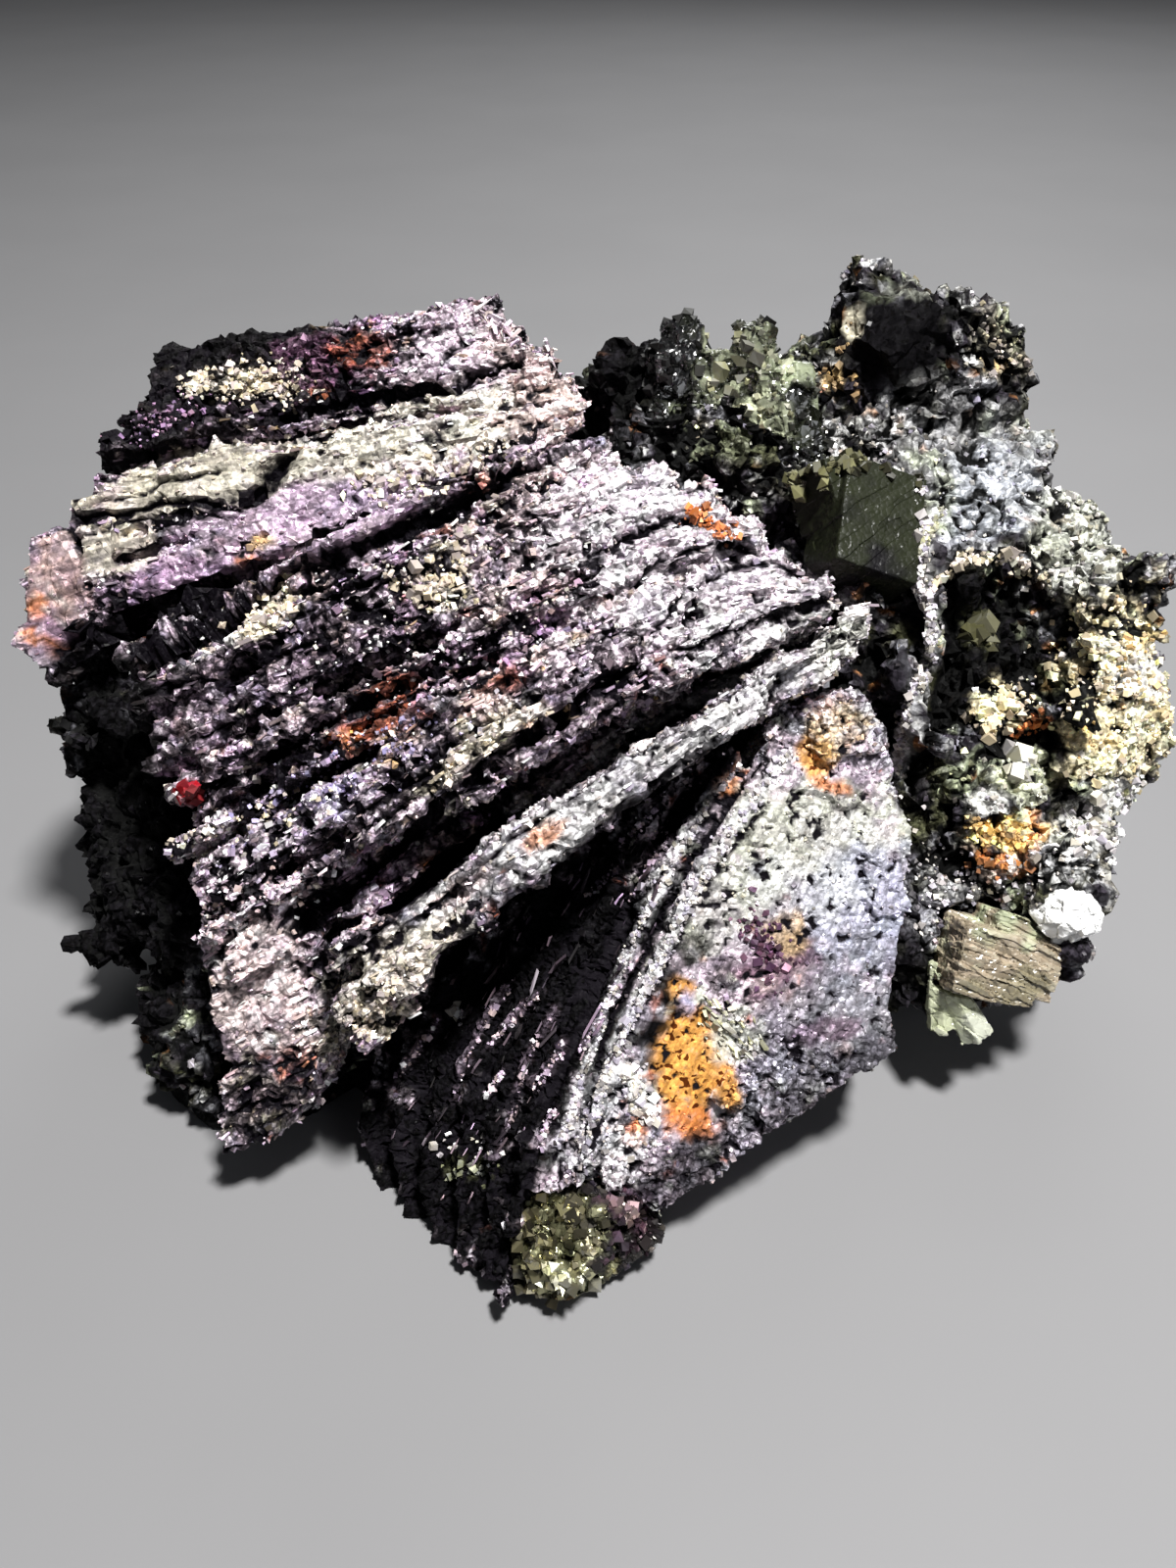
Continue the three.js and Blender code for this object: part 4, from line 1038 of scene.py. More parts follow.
rockLook = {
    "grain": 0.00042, "tilt": 0.45, "bulge": 0.7, "fineGrain": 0.00020, "fineTilt": 0.38,
    "speckle": 0.55, "fineSpeckle": 0.35, "gaps": 0.6, "even": 0.68, "streaks": 0.0,
    "firstFilm": (0.20, 0.19, 0.13, 1), "secondFilm": (0.26, 0.27, 0.32, 1), "film": 0.35, "filmSize": 0.003,
    "pit": (0.005, 0.005, 0.005, 1), "edge": (0.75, 0.75, 0.70, 1), "pits": 1.0, "edges": 0.35,
    "metal": 0.35, "gloss": 0.22, "specular": 0.05,
}


def rockForm(shown, pixels, shape):
    seed = shape["seed"]
    rocks, rockLot, rockEdge = facets(shown, shape["rocks"], seed + 10, 0.5)
    blocks, blockLot, blockEdge = facets(shown, shape["blocks"], seed + 20, 0.4)
    grain, grainLot, _ = facets(shown, shape["grain"], seed + 30, 0.2)
    pits = ease(0.42, 0.75, swell(shown, shape["pits"][0], seed + 40)) * shape["pits"][1]
    gaps = seams(rockEdge) + 0.6 * seams(blockEdge)
    depth = shape["lumps"][1] * swell(shown, shape["lumps"][0], seed + 50)
    depth += rocks + blocks + grain - pits - 0.3 * gaps
    return depth, gaps, 0.5 + 0.45 * rockLot + 0.35 * blockLot + 0.35 * grainLot, -0.2


rock = makePiece("sulphide_matrix", "sulphide_rock", rockShape, rockForm, rockColours,
                 makeOre("sulphide rock", rockLook))


# The small crystals. Each is cut in its own facets, or in thin layers that climb at an angle.
def crystalForm(shown, pixels, shape):
    seed = shape["seed"]
    slope = math.radians(shape["slope"])
    laid = np.stack([shown[:, 0] * math.cos(slope) + shown[:, 1] * math.sin(slope),
                     shown[:, 1] * math.cos(slope) - shown[:, 0] * math.sin(slope), shown[:, 2]], 1)
    laid += 0.15 * swell(shown, 1.5, seed)[:, None]
    big, bigLot, bigEdge = facets(laid, shape["layer"], seed + 10, 0.6)
    chips, chipLot, _ = facets(shown, shape["chips"], seed + 20, 0.3)
    gaps = shape["gaps"] * seams(bigEdge, 0.1)
    return big + chips - 0.15 * gaps, gaps, 1 + shape["lots"] * (bigLot + chipLot - 1), -0.05


def makeClear(name, look):  # crystal that light goes into
    material, tree, shader = startMaterial(name)
    tone = painted(tree, "tone", "Color")
    relief = painted(tree, "relief")
    facet = {"Size": look["grain"], "Jumble": 0.4, "Tilt": look["tilt"], "Bulge": 0.2}
    grain = useGroup(tree, grainGroup, facet)
    cloud = noise(tree, look["cloud"], 3.0)["Fac"]
    clouding = times(tree, spread(tree, cloud, 0.4, 0.65), spread(tree, brightness(tree, tone), 0.01, 0.12))
    clouding = times(tree, clouding, look["clouding"])
    clouded = blendColours(tree, clouding, tone, look["cloudColour"])
    # Painted shade in the low places and a painted highlight on the raised ones.
    pitShading = {"Color": clouded, "Pit color": look["pit"], "Edge color": look["edge"], "Relief": relief,
            "Pits": 0.7, "Edges": look["edges"]}
    tree.links.new(useGroup(tree, pitShadeGroup, pitShading)["Color"], shader["Base Color"])
    shine = spread(tree, grain["Shade"], 0.0, 1.0, look["gloss"], look["gloss"] + 0.2)
    tree.links.new(shine, shader["Roughness"])
    tree.links.new(grain["Normal"], shader["Normal"])
    shader["Transmission Weight"].default_value = look["through"]
    shader["IOR"].default_value = look["ior"]
    shader["Metallic"].default_value = look["metal"]
    shader["Specular IOR Level"].default_value = look.get("specular", 0.5)
    return material


crystals = {
    "quartz_crystal": {
        "name": "quartz", "slot": "quartz", "ground": ("snow", "snow", "white"),
        "shape": {"voxel": 0.09, "triangles": 8000, "seed": 301, "rounds": 4, "contrast": 1.5,
                  "layer": ((1.3, 1.0, 1.3), 0.3, 0.6), "chips": (0.5, 0.06, 0.06), "gaps": 0.2,
                  "slope": 30, "lots": 0.1},
        "look": {"grain": 0.0006, "tilt": 0.08, "cloud": 900, "clouding": 0.7, "cloudColour": (1, 1, 1, 1),
                 "pit": (0.85, 0.85, 0.83, 1), "edge": (1, 1, 1, 1), "edges": 0.5, "gloss": 0.08,
                 "through": 0.08, "ior": 1.54, "metal": 0.0},
    },
    "siderite_crystal": {
        "name": "siderite", "slot": "siderite", "ground": ("bark", "honey", "jade"),
        "shape": {"voxel": 0.1, "triangles": 12000, "seed": 331, "rounds": 4, "contrast": 1.6,
                  "layer": ((4.0, 0.32, 1.6), 0.22, 0.15), "chips": (0.6, 0.08, 0.08), "gaps": 0.6,
                  "slope": -24, "lots": 0.5},
        "look": {"grain": 0.0005, "tilt": 0.12, "cloud": 700, "clouding": 0.3,
                 "cloudColour": (0.3, 0.26, 0.14, 1), "pit": (0.03, 0.025, 0.01, 1),
                 "edge": (0.7, 0.7, 0.55, 1), "edges": 0.4, "gloss": 0.22, "through": 0.0, "ior": 1.8,
                 "metal": 0.0},
    },
    "calcite_blades": {
        "name": "calcite", "slot": "calcite", "ground": ("paleGreen", "greyGreen", "paleGreen"),
        "shape": {"voxel": 0.09, "triangles": 8000, "seed": 361, "rounds": 4, "contrast": 1.5,
                  "layer": ((2.4, 0.6, 2.0), 0.16, 0.2), "chips": (0.5, 0.05, 0.05), "gaps": 0.3,
                  "slope": -35, "lots": 0.2},
        "look": {"grain": 0.0006, "tilt": 0.08, "cloud": 800, "clouding": 0.3,
                 "cloudColour": (0.75, 0.78, 0.55, 1), "pit": (0.2, 0.22, 0.12, 1), "edge": (1, 1, 0.85, 1),
                 "edges": 0.5, "gloss": 0.1, "through": 0.4, "ior": 1.6, "metal": 0.0},
    },
    "sphalerite_crystal": {
        "name": "sphalerite", "slot": "sphalerite", "ground": ("bottle", "black", "bottle"),
        "shape": {"voxel": 0.09, "triangles": 12000, "seed": 391, "rounds": 12, "contrast": 0.5,
                  "layer": ((9.0, 0.55, 9.0), 0.1, 0.05), "chips": (0.8, 0.03, 0.03), "gaps": 0.0,
                  "slope": 38, "lots": 0.35},
        "look": {"grain": 0.0003, "tilt": 0.1, "cloud": 700, "clouding": 0.4,
                 "cloudColour": (0.04, 0.045, 0.016, 1), "specular": 0.16, "pit": (0.004, 0.004, 0.003, 1),
                 "edge": (0.12, 0.13, 0.06, 1), "edges": 0.1, "gloss": 0.3, "through": 0.0, "ior": 1.5,
                 "metal": 0.0},
    },
    "sphalerite_cluster": {
        "name": "sphalerite_cluster_pale", "slot": "sphalerite_pale", "ground": ("bottle", "jade", "black"),
        "patches": {
            "bright middle": patch((752, 385), (34, 56), "paleGreen", 0.6),
            "bright right": patch((785, 430), (22, 26), "paleGreen", 0.5),
            # Painted shadow cast by the big crystal: black on the left.
            "dark left": patch((668, 380), (34, 60), "black", 0.9),
        },
        "shape": {"voxel": 0.16, "triangles": 22000, "seed": 421, "rounds": 4, "contrast": 0.9,
                  "layer": ((1.9, 1.3, 1.6), 0.7, 0.6), "chips": (0.7, 0.15, 0.15), "gaps": 0.7,
                  "slope": 60, "lots": 0.9},
        "look": {"grain": 0.0006, "tilt": 0.1, "cloud": 350, "clouding": 0.5,
                 "cloudColour": (0.22, 0.25, 0.16, 1), "pit": (0.005, 0.006, 0.003, 1),
                 "edge": (0.6, 0.64, 0.45, 1), "edges": 0.4, "gloss": 0.08, "through": 0.2, "ior": 2.2,
                 "metal": 0.0},
    },
    "pyrite_cluster": {
        "name": "pyrite", "slot": "pyrite", "ground": ("brass", "olive", "black"),
        "patches": {
            "dark right side": patch((668, 1250), (66, 95), "ink", 0.95, wrap=True),
            "violet crumbs": patch((655, 1240), (34, 40), "deepViolet", 0.7, ragged=2),
            "pale crumbs": patch((645, 1225), (18, 24), "pinkCream", 0.4, ragged=2.5),
            "dark top": patch((600, 1205), (50, 14), "ink", 0.8),
            "pale face": patch((580, 1308), (34, 12), "paleGreen", 0.8, turn=-10),
            "dark tip": patch((572, 1332), (26, 10), "brownOrange", 0.7),
        },
        "shape": {"voxel": 0.14, "triangles": 24000, "seed": 451, "rounds": 4, "contrast": 0.9,
                  "layer": ((1.3, 0.9, 1.1), 0.5, 0.5), "chips": (0.45, 0.15, 0.15), "gaps": 0.9,
                  "slope": 40, "lots": 0.9, "grooves": {"narrow": line([700, 668], [1225, 1330], 30, 2.0)}},
        "look": {"grain": 0.0004, "tilt": 0.22, "cloud": 600, "clouding": 0.4,
                 "cloudColour": (0.14, 0.14, 0.06, 1), "pit": (0.006, 0.006, 0.003, 1),
                 "edge": (0.8, 0.8, 0.5, 1), "edges": 0.5, "gloss": 0.12, "through": 0.0, "ior": 1.5,
                 "metal": 0.7},
    },
}
for node, crystal in crystals.items():
    crystal["piece"] = makePiece(node, crystal["name"], crystal["shape"], crystalForm,
                                 crystal, makeClear(crystal["name"], crystal["look"]))


# Loose small crystals grown on the faces: short irregular blocks, double pyramids and thin plates on edge.
def readValues(mesh, name, kind, width):
    values = np.zeros(len(mesh.vertices) * width, np.float32)
    mesh.attributes[name].data.foreach_get(kind, values)
    return values.reshape(-1, width) if width > 1 else values


def crossWays(lay, normals):  # three directions for each place: along the plate, through it, and out
    through = lay / np.linalg.norm(lay, axis=1, keepdims=True)
    out = normals - through * (normals * through).sum(1, keepdims=True)
    out /= np.maximum(np.linalg.norm(out, axis=1, keepdims=True), 1e-9)
    return np.stack([np.cross(through, out), through, out], 2)


def anyWays(draw, count):
    spin = draw.randn(count, 4)
    w, x, y, z = (spin / np.linalg.norm(spin, axis=1, keepdims=True)).T
    return np.stack([
        np.stack([1 - 2 * (y * y + z * z), 2 * (x * y - z * w), 2 * (x * z + y * w)], 1),
        np.stack([2 * (x * y + z * w), 1 - 2 * (x * x + z * z), 2 * (y * z - x * w)], 1),
        np.stack([2 * (x * z - y * w), 2 * (y * z + x * w), 1 - 2 * (x * x + y * y)], 1)], 1)


upWay, outWay = (0, 0.616, 0.788), (0, -0.788, 0.616)  # up the show face and out of it, in the frame


def layAcross(places, shape):  # the direction in which the plates follow each other
    shown = toShow(places)
    step = 0.3  # mm
    here = layFor(shown, toPicture(shown), shape)[:, 1]
    slope = np.zeros_like(shown)
    for axis in range(3):
        nudged = shown.copy()
        nudged[:, axis] += step
        slope[:, axis] = (layFor(nudged, toPicture(nudged), shape)[:, 1] - here) / step
    slope += 1e-6
    across, up, out = np.array([1, 0, 0]), np.array(upWay), np.array(outWay)
    return slope[:, :1] * across + slope[:, 1:2] * up + slope[:, 2:] * out


blockForm = (np.array([[i, j, k] for i in (-1, 1) for j in (-1, 1) for k in (-1, 1)], float) * 0.5,
             [(0, 1, 3, 2), (4, 6, 7, 5), (0, 4, 5, 1), (2, 3, 7, 6), (0, 2, 6, 4), (1, 5, 7, 3)])
pyramidForm = (np.array([[1, 0, 0], [-1, 0, 0], [0, 1, 0], [0, -1, 0], [0, 0, 1.2], [0, 0, -1.2]]) * 0.6,
               [(0, 2, 4), (2, 1, 4), (1, 3, 4), (3, 0, 4), (2, 0, 5), (1, 2, 5), (3, 1, 5), (0, 3, 5)])


# How far crystals of one kind differ in size, corners and colour.
variety = {"whole": 0.4, "corners": 0.65, "warm": (1.12, 1.04, 0.87), "cool": (0.95, 0.88, 1.08)}


def grow(name, places, seed, material):  # builds one mesh from the places of all its crystals
    draw = np.random.RandomState(seed)
    count = len(places["size"])
    boxed = draw.rand(count) < places["boxes"]
    allPoints, allFaces, owners, start = [], [], [], 0
    for (template, faces), kind in ((blockForm, boxed), (pyramidForm, ~boxed)):
        chosen = np.flatnonzero(kind)
        form = np.tile(template, (len(chosen), 1, 1)) * places["shape"][chosen][:, None, :]
        form = form * (1 + variety["whole"] * (draw.rand(len(chosen), 1, 3) - 0.5))
        form = form * (1 + variety["corners"] * (draw.rand(*form.shape) - 0.5))
        form = np.einsum("nij,nkj->nki", places["ways"][chosen], form) * places["size"][chosen][:, None, None]
        allPoints.append((form + places["at"][chosen][:, None, :]).reshape(-1, 3))
        owners.append(np.repeat(chosen, len(template)))
        for n in range(len(chosen)):
            allFaces.extend(tuple(start + n * len(template) + v for v in face) for face in faces)
        start += len(chosen) * len(template)
    placed = np.concatenate(allPoints)
    placed[:, 2] = np.maximum(placed[:, 2], 0)
    owners = np.concatenate(owners)
    made = bpy.data.meshes.new(name)
    made.from_pydata(placed.tolist(), [], allFaces)
    hue = draw.rand(count)[:, None]
    tint = np.array(variety["warm"]) * hue + np.array(variety["cool"]) * (1 - hue)
    writeColour(made, "tone", np.clip(places["colour"] * tint, 0, finish["brightest"])[owners])
    writeNumber(made, "crust", places["crust"][owners])
    writeNumber(made, "shine", draw.rand(count)[owners])
    piece = addObject(name, made, material)
    flatShade(made)
    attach(piece, "root")
    print(name, len(made.polygons), "faces")


def sizesOf(draw, spec, count):
    low, high = spec["sizes"]
    return low * (high / low) ** (draw.rand(count) ** 1.6) * mm


def shadesOf(draw, spec, count):  # most are dim and a few are bright: random tone, with the brightest also serving as painted glints
    return (spec["dim"] + (spec["lit"] - spec["dim"]) * draw.rand(count) ** spec["rare"])[:, None]


# What holds small crystals back: calm or low places, the base (heights in mm), surfaces that turn away.
sowing = {
    "low": 0.12, "calm": 0.75, "calmSize": 0.45, "heights": (0.4, 1.5), "turn": (-0.2, 0.3),
    "sway": 0.12, "darkest": 0.04,
}


def sprinkle(host, spec):  # places all over a piece, more of them where the stone is pale and stands out
    mesh, count = host.data, spec["count"]
    mesh.calc_loop_triangles()
    corners = np.zeros(len(mesh.loop_triangles) * 3, np.int32)
    mesh.loop_triangles.foreach_get("vertices", corners)
    corners = corners.reshape(-1, 3)
    points, first = pointsOf(mesh), corners[:, 0]
    tone = readValues(mesh, "tone", "color", 4)[:, :3]
    crust, relief, calm = (readValues(mesh, name, "value", 1) for name in ("crust", "relief", "calm"))
    a, b, c = (points[corners[:, n]] for n in range(3))
    across = np.cross(b - a, c - a)
    area = np.linalg.norm(across, axis=1)
    middle = (a + b + c) / 3
    weight = area * (sowing["low"] + relief[first]) * (spec["inDark"] + tone[first].mean(1))
    weight *= 1 - sowing["calm"] * calm[first]
    weight *= ease(*sowing["heights"], middle[:, 2] / mm)
    if "where" in spec:
        weight *= coverOf(toPicture(toShow(middle)), spec["where"])
        weight *= ease(*sowing["turn"], facing(middle, across / area[:, None]))
    draw = np.random.RandomState(spec["seed"])
    picked = draw.choice(len(corners), count, p=weight / weight.sum())
    normal = across[picked] / area[picked][:, None]
    size = sizesOf(draw, spec, count) * (1 - sowing["calmSize"] * calm[first[picked]])
    ways = anyWays(draw, count)
    if "aligned" in spec:
        ways = layAcross(middle[picked], spec["aligned"]) + sowing["sway"] * draw.randn(count, 3)
        ways = crossWays(ways, normal)
    colour = np.array(tones[spec["tone"]][0]) * np.ones((count, 1)) if "tone" in spec else tone[first[picked]]
    glints = (draw.rand(count) < spec.get("glints", 0)) & (colour.mean(1) > sowing["darkest"])
    colour[glints] = tones["white"][0]  # a few are painted white as glints
    return {
        "at": middle[picked] + normal * (size * spec["out"])[:, None], "ways": ways, "size": size,
        "shape": np.tile(spec["shape"], (count, 1)), "boxes": 1.0 if "aligned" in spec else 0.5,
        "colour": colour * shadesOf(draw, spec, count), "crust": crust[first[picked]],
    }


lowest = 0.8 * mm  # no small crystal starts below this
trailing = {"spread": 0.5, "lean": 0.45, "sway": 0.2, "boxes": 0.55}  # how far crystals of a trail stray


def trail(host, lines, seed):  # places along lines of the picture, where the camera sees the piece
    faces = [tuple(face.vertices) for face in host.data.polygons]
    tree = bvhtree.BVHTree.FromPolygons(pointsOf(host.data).tolist(), faces)
    eye = Vector(view["at"])
    across, up, out = Vector((1, 0, 0)), Vector(upWay), Vector(outWay)
    draw = np.random.RandomState(seed)
    found = {name: [] for name in ("at", "ways", "size", "shape", "colour", "crust")}
    for row in lines.values():
        run = np.concatenate([[0], np.cumsum(np.hypot(np.diff(row["x"]), np.diff(row["y"])))])
        count = row["count"]
        far = draw.rand(count) * run[-1]
        x, y = (np.interp(far, run, row[axis]) + draw.randn(count) * row["wide"] * trailing["spread"]
                for axis in ("x", "y"))
        size, shade = sizesOf(draw, row, count), shadesOf(draw, row, count)
        colour, crust = tones[row["tone"]]
        for n in range(count):
            ray = across * ((x[n] - picture["middleX"]) / picture["focal"])
            ray = ray + up * ((picture["middleY"] - y[n]) / picture["focal"]) - out
            spot, normal = tree.ray_cast(eye, ray.normalized())[:2]
            if spot is None or spot.z < lowest:
                continue
            normal = normal if normal.dot(ray) < 0 else -normal
            lean = Vector(draw.randn(3)) * trailing["lean"] + normal
            lay = Vector(draw.randn(3))
            if "lay" in row:
                lay = Vector(row["lay"]) + lay * trailing["sway"]
            found["at"].append(spot + normal * (size[n] * row["out"]))
            found["ways"].append(crossWays(np.array([lay]), np.array([lean.normalized()]))[0])
            found["size"].append(size[n])
            found["shape"].append(row["shape"])
            found["colour"].append(np.array(colour) * shade[n])
            found["crust"].append(crust)
    places = {name: np.array(values) for name, values in found.items()}
    places["boxes"] = trailing["boxes"]
    return places


def makeGrainMaterial(name, look):
    material, tree, shader = startMaterial(name)
    tone = painted(tree, "tone", "Color")
    dull = painted(tree, "crust")
    shine = painted(tree, "shine")
    metal = sums(tree, "SUBTRACT", 1.0, dull)
    film = {"Color": tone, "First film": look["firstFilm"], "Second film": look["secondFilm"],
            "Amount": times(tree, metal, look["film"]), "Size": 0.0012}
    tree.links.new(useGroup(tree, tarnishGroup, film)["Color"], shader["Base Color"])
    tree.links.new(times(tree, metal, look["metal"]), shader["Metallic"])
    rough = spread(tree, shine, 0.0, 1.0, look["gloss"], look["gloss"] + 0.4)
    rough = sums(tree, "ADD", rough, times(tree, dull, 0.3), clamp=True)
    tree.links.new(rough, shader["Roughness"])
    return material


loose = {
    "stack_grains": {
        "host": stack, "slot": "striated_pyrrhotite", "seed": 501, "count": 12000, "sizes": (0.12, 0.42),
        "shape": (1, 1, 0.7), "out": 0.10, "inDark": 0.04, "dim": 0.40, "lit": 2.2, "rare": 2.4,
        "glints": 0.12, "look": {**stackLook, "metal": 0.7, "gloss": 0.06},
    },
    "stack_plates": {
        "host": stack, "slot": "striated_pyrrhotite", "seed": 511, "count": 9000, "sizes": (0.20, 0.75),
        "shape": (1, 0.22, 0.50), "out": 0.10, "inDark": 0.05, "dim": 0.4, "lit": 2.2, "rare": 2,
        "aligned": stackShape, "look": {**stackLook, "metal": 0.75, "gloss": 0.10},
    },
    "blade_grains": {
        "host": blades, "slot": "smooth_pyrrhotite", "seed": 502, "count": 6000, "sizes": (0.12, 0.36),
        "shape": (1, 1, 0.7), "out": 0.10, "inDark": 0.015, "dim": 0.25, "lit": 1.6, "rare": 1.4,
        "glints": 0.05, "look": {**bladeLook, "metal": 0.65, "gloss": 0.06},
    },
    "hollow_plates": {
        "host": blades, "slot": "smooth_pyrrhotite", "seed": 512, "count": 150, "sizes": (0.4, 1.6),
        "shape": (1, 0.10, 0.30), "out": 0.10, "inDark": 0.6, "dim": 0.01, "lit": 1.2, "rare": 4,
        "aligned": bladeShape, "tone": "lilac", "where": area((540, 1040), (190, 85), 1, turn=55),
        "look": {**bladeLook, "metal": 0.9, "gloss": 0.10},
    },
    "rock_grains": {
        "host": rock, "slot": "sulphide_rock", "seed": 503, "count": 11600, "sizes": (0.13, 0.50),
        "shape": (1, 1, 0.7), "out": 0.12, "inDark": 0.03, "dim": 0.35, "lit": 2.0, "rare": 2,
        "look": {**rockLook, "metal": 0.4, "gloss": 0.08},
    },
    "pyrite_grains": {
        "host": crystals["pyrite_cluster"]["piece"], "slot": "pyrite", "seed": 513, "count": 700,
        "sizes": (0.2, 0.7), "shape": (1, 1, 0.9), "out": 0.12, "inDark": 0.1, "dim": 0.3, "lit": 2.0,
        "rare": 2.2, "look": {**rockLook, "metal": 0.9, "gloss": 0.06},
    },
    "cluster_grains": {
        "host": crystals["sphalerite_cluster"]["piece"], "slot": "sphalerite_pale", "seed": 514, "count": 420,
        "sizes": (0.3, 1.0), "shape": (1, 0.8, 0.8), "out": 0.10, "inDark": 0.3, "dim": 0.25, "lit": 1.5,
        "rare": 2, "look": {**rockLook, "metal": 0.1, "gloss": 0.05},
    },
}
trails = {
    "stack_crystals": {"host": stack, "slot": "striated_pyrrhotite", "seed": 521,
                       "look": {**stackLook, "metal": 0.5, "gloss": 0.06}, "lines": {
        "crest block": beads([192, 212], [396, 384], 12, 100, (0.15, 0.45), "cream"),
        "crest cluster": beads([232, 262, 300], [404, 382, 404], 22, 260, (0.12, 0.42), "cream"),
        "crest lilac": beads([122, 165, 205], [440, 428, 412], 20, 80, (0.12, 0.36), "violet"),
        "pale lump": beads([250, 292], [648, 604], 16, 150, (0.15, 0.45), "cream"),
        "beads of the middle": beads([410, 452, 478], [586, 606, 560], 26, 130, (0.15, 0.5), "cream"),
        "ledge beads": beads([370, 430, 470, 520], [500, 492, 470, 455], 22, 120, (0.15, 0.42), "cream"),
        "spikes of the peak": beads([482, 520, 585, 590, 612], [318, 342, 366, 392, 420], 8, 170, (0.3, 1.2),
                                    "rosyWhite", shape=(0.2, 0.2, 1.0), out=0.35),
        "spikes of the edge": beads([612, 650, 690, 758, 768, 792, 832, 872, 902],
                                    [428, 430, 452, 482, 508, 520, 552, 598, 628], 8, 240, (0.25, 0.9),
                                    "rosyWhite", shape=(0.22, 0.22, 1.0), out=0.35),
        "red bead": beads([186, 200], [806, 808], 10, 26, (0.2, 0.6), "deepRed", lit=1.6),
        "gold edge": beads([255, 272], [560, 548], 6, 16, (0.15, 0.4), "gold"),
        "orange edge": beads([700, 745], [520, 545], 12, 60, (0.15, 0.4), "orange"),
        "beads low left": beads([165, 225, 300, 345], [862, 850, 822, 800], 24, 110, (0.12, 0.34), "cream"),
        "beads lower left": beads([190, 255, 320], [945, 915, 885], 22, 90, (0.12, 0.34), "rosyBeige"),
        "blue beads": beads([230, 300, 380, 470], [850, 818, 770, 730], 30, 150, (0.12, 0.32), "blueViolet",
                            lit=1.8),
        # Painted glints: small white beads over the middle.
        "white beads": beads([300, 420, 560], [700, 660, 600], 90, 220, (0.1, 0.24), "white", dim=0.8),
        "end of the lip": beads([340, 385, 420], [1062, 1035, 985], 26, 150, (0.12, 0.34), "oldIvory"),
    }},
    "blade_beads": {"host": blades, "slot": "smooth_pyrrhotite", "seed": 522,
                    "look": {**bladeLook, "metal": 0.5, "gloss": 0.06}, "lines": {
        # Painted glints: bright lilac beads along the plate edges in the hollow.
        **{name: beads(rod["x"], rod["y"], 3.5, 34, (0.10, 0.32), "rosyLilac", lit=1.5)
           for name, rod in bladeRods.items()},
        "ridge": beads([592, 622, 658, 700, 748, 806], [1175, 1090, 1010, 925, 845, 765], 9, 420,
                       (0.12, 0.38), "greyWhite"),
        "second ridge": beads([572, 600, 634, 676, 720, 782], [1165, 1080, 985, 900, 822, 750], 5, 240,
                              (0.12, 0.34), "greyWhite"),
        "green blades": beads([722, 765], [1030, 1072], 18, 70, (0.3, 0.8), "paleGreen",
                              shape=(1, 0.25, 0.5), lay=(0.6, 0.3, 0.3)),
        "white crystals": beads([640, 662], [1085, 1145], 14, 70, (0.2, 0.6), "white"),
        "foot crystals": beads([462, 500], [1196, 1190], 12, 24, (0.2, 0.5), "jade"),
        "foot glints": beads([440, 500], [1168, 1172], 16, 18, (0.15, 0.4), "white"),
        "bead of the hollow": beads([464, 472], [1032, 1038], 7, 18, (0.2, 0.5), "white"),
        "purple grains": beads([765, 795], [935, 995], 24, 90, (0.15, 0.45), "deepViolet"),
    }},
}
trails["rock_crystals"] = {"host": rock, "slot": "sulphide_rock", "seed": 523,
                           "look": {**rockLook, "metal": 0.2, "gloss": 0.05}, "lines": {
    "vein": beads([948, 940, 952, 945, 925, 915], [530, 590, 640, 680, 720, 790], 7, 420, (0.15, 0.42),
                  "greyWhite"),
    "vein branches": beads([905, 938, 962], [602, 560, 518], 5, 120, (0.15, 0.4), "paleGreen"),
    "arch": beads([952, 985, 1030, 1062], [598, 572, 568, 592], 9, 110, (0.2, 0.6), "cream"),
    "olive crystal": beads([985, 1008], [630, 662], 12, 12, (0.8, 1.6), "olive", lit=2.5),
    "orange cream": beads([1002, 1048], [742, 708], 18, 90, (0.2, 0.8), "creamGold"),
    "orange points": beads([1035, 1068], [748, 730], 9, 26, (0.2, 0.5), "orange"),
    "clear crystal": beads([1034, 1046], [760, 800], 12, 9, (0.9, 1.5), "greyGreen", lit=0.9),
    "gold rim": beads([990, 1052], [846, 862], 14, 90, (0.15, 0.5), "amber", lit=1.5),
    "brown rim": beads([998, 1045], [878, 890], 12, 50, (0.2, 0.5), "brownOrange", lit=1.8),
    "yellow crystals": beads([868, 846, 884], [332, 386, 400], 12, 20, (0.2, 0.5), "gold", lit=0.9),
    "golden cream": beads([1012, 1040], [318, 385], 18, 34, (0.15, 0.4), "cream", lit=0.6),
    "cream edge": beads([1095, 1150, 1188], [660, 690, 780], 50, 420, (0.14, 0.5), "creamGold", lit=1.5),
    "orange in the cream": beads([1105, 1170], [768, 650], 30, 30, (0.15, 0.45), "amber"),
    "grey grains": beads([925, 985, 1050], [885, 920, 935], 60, 220, (0.12, 0.4), "greyWhite"),
    "low white": beads([1105, 1185], [850, 820], 40, 160, (0.2, 0.6), "white"),
}}
trails["sphalerite_crust"] = {"host": crystals["sphalerite_crystal"]["piece"], "slot": "sphalerite",
                              "seed": 524, "look": {**rockLook, "metal": 0.2, "gloss": 0.05}, "lines": {
    "top edge": beads([800, 835, 885, 945], [500, 474, 464, 482], 16, 150, (0.2, 0.8), "olive", lit=4),
    "right edge": beads([945, 948], [486, 560], 12, 70, (0.2, 0.6), "greyWhite"),
    "left edge": beads([802, 815], [500, 585], 10, 60, (0.2, 0.7), "bottle", lit=4),
}}
for name, spec in loose.items():
    grow(name, sprinkle(spec["host"], spec), spec["seed"] + 40,
         makeGrainMaterial(name.replace("_", " "), spec["look"]))
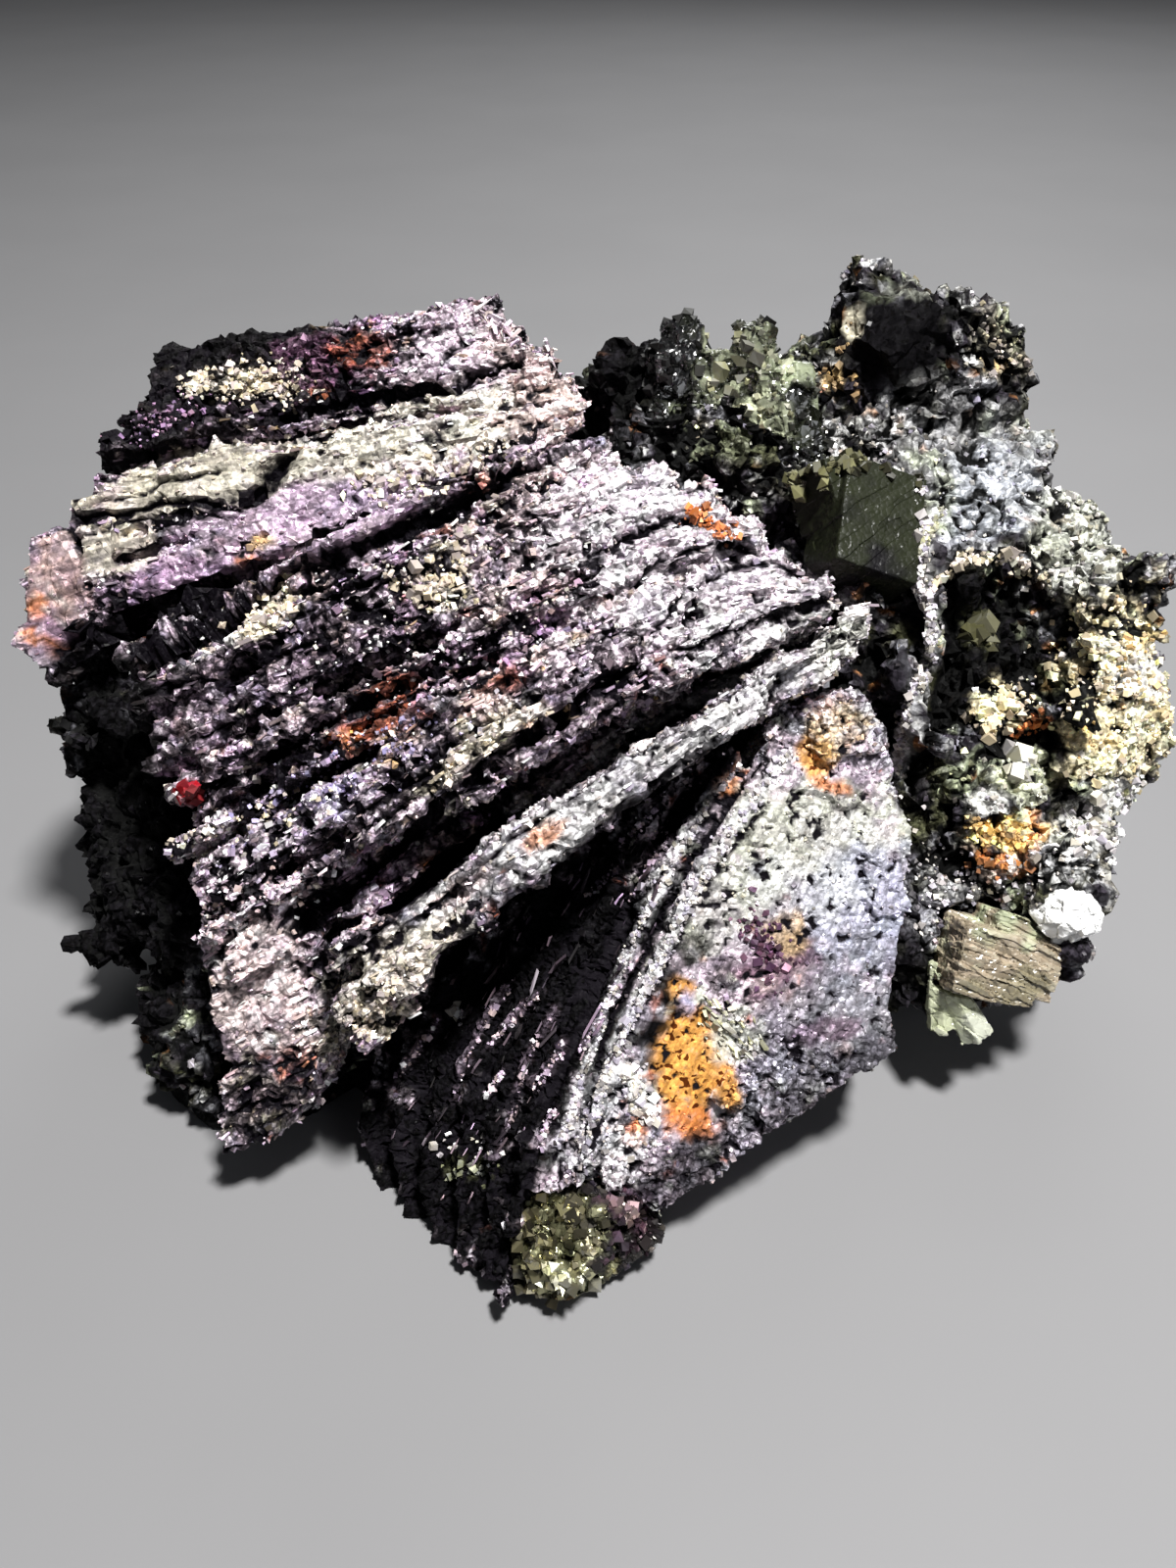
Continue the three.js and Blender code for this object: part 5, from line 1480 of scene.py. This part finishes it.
for name, spec in trails.items():
    grow(name, trail(spec["host"], spec["lines"], spec["seed"]), spec["seed"] + 40,
         makeGrainMaterial(name.replace("_", " "), spec["look"]))


# Floor, lights and camera.
room = {"floor": 3.0, "lift": -0.00002, "pale": (0.155, 0.155, 0.16, 1), "paler": (0.175, 0.175, 0.18, 1)}
half = room["floor"]
corners = [(-half, -half, 0), (half, -half, 0), (half, half, 0), (-half, half, 0)]
floorMesh = bpy.data.meshes.new("floor")
floorMesh.from_pydata(corners, [], [(0, 1, 2, 3)])
floorMaterial, floorTree, floorShader = startMaterial("pale floor")
floorNoise = noise(floorTree, 30.0, 3.0, objectPlace(floorTree))["Fac"]
floorColour = blendColours(floorTree, floorNoise, room["pale"], room["paler"])
floorTree.links.new(floorColour, floorShader["Base Color"])
floorShader["Roughness"].default_value = 0.7
floor = addObject("floor", floorMesh, floorMaterial)
floor.location.z = room["lift"]

lamps = {
    "key": {"at": (0.085, -0.085, 0.39), "size": 0.05, "power": 4.1, "colour": (1.0, 0.99, 0.97)},
    "fill": {"at": (0.30, -0.28, 0.22), "size": 0.25, "power": 0.20, "colour": (0.94, 0.96, 1.0)},
    "back": {"at": (0.10, 0.40, 0.30), "size": 0.30, "power": 0.9, "colour": (1.0, 1.0, 1.0)},
}
aimedAt = Vector((0.002, -0.002, 0.02))
for name, lamp in lamps.items():
    light = bpy.data.lights.new(name, "AREA")
    light.shape = "DISK"
    light.size = lamp["size"]
    light.energy = lamp["power"]
    light.color = lamp["colour"]
    holder = bpy.data.objects.new(name, light)
    bpy.context.scene.collection.objects.link(holder)
    holder.location = lamp["at"]
    holder.rotation_euler = (aimedAt - holder.location).to_track_quat("-Z", "Y").to_euler()

sky = {"colour": (0.80, 0.84, 0.90, 1), "strength": 0.085}
world = bpy.data.worlds.new("studio")
bpy.context.scene.world = world
world.use_nodes = True
world.node_tree.nodes["Background"].inputs["Color"].default_value = sky["colour"]
world.node_tree.nodes["Background"].inputs["Strength"].default_value = sky["strength"]
bpy.context.scene.view_settings.view_transform = "Standard"

camera = bpy.data.cameras.new("camera")
camera.lens = view["lens"]
camera.sensor_width = view["sensor"]
camera.clip_start = view["near"]
cameraHolder = bpy.data.objects.new("camera", camera)
bpy.context.scene.collection.objects.link(cameraHolder)
cameraHolder.location = view["at"]
cameraHolder.rotation_euler = (math.radians(showFace["lean"]), 0, 0)
bpy.context.scene.camera = cameraHolder

print("scene ready")
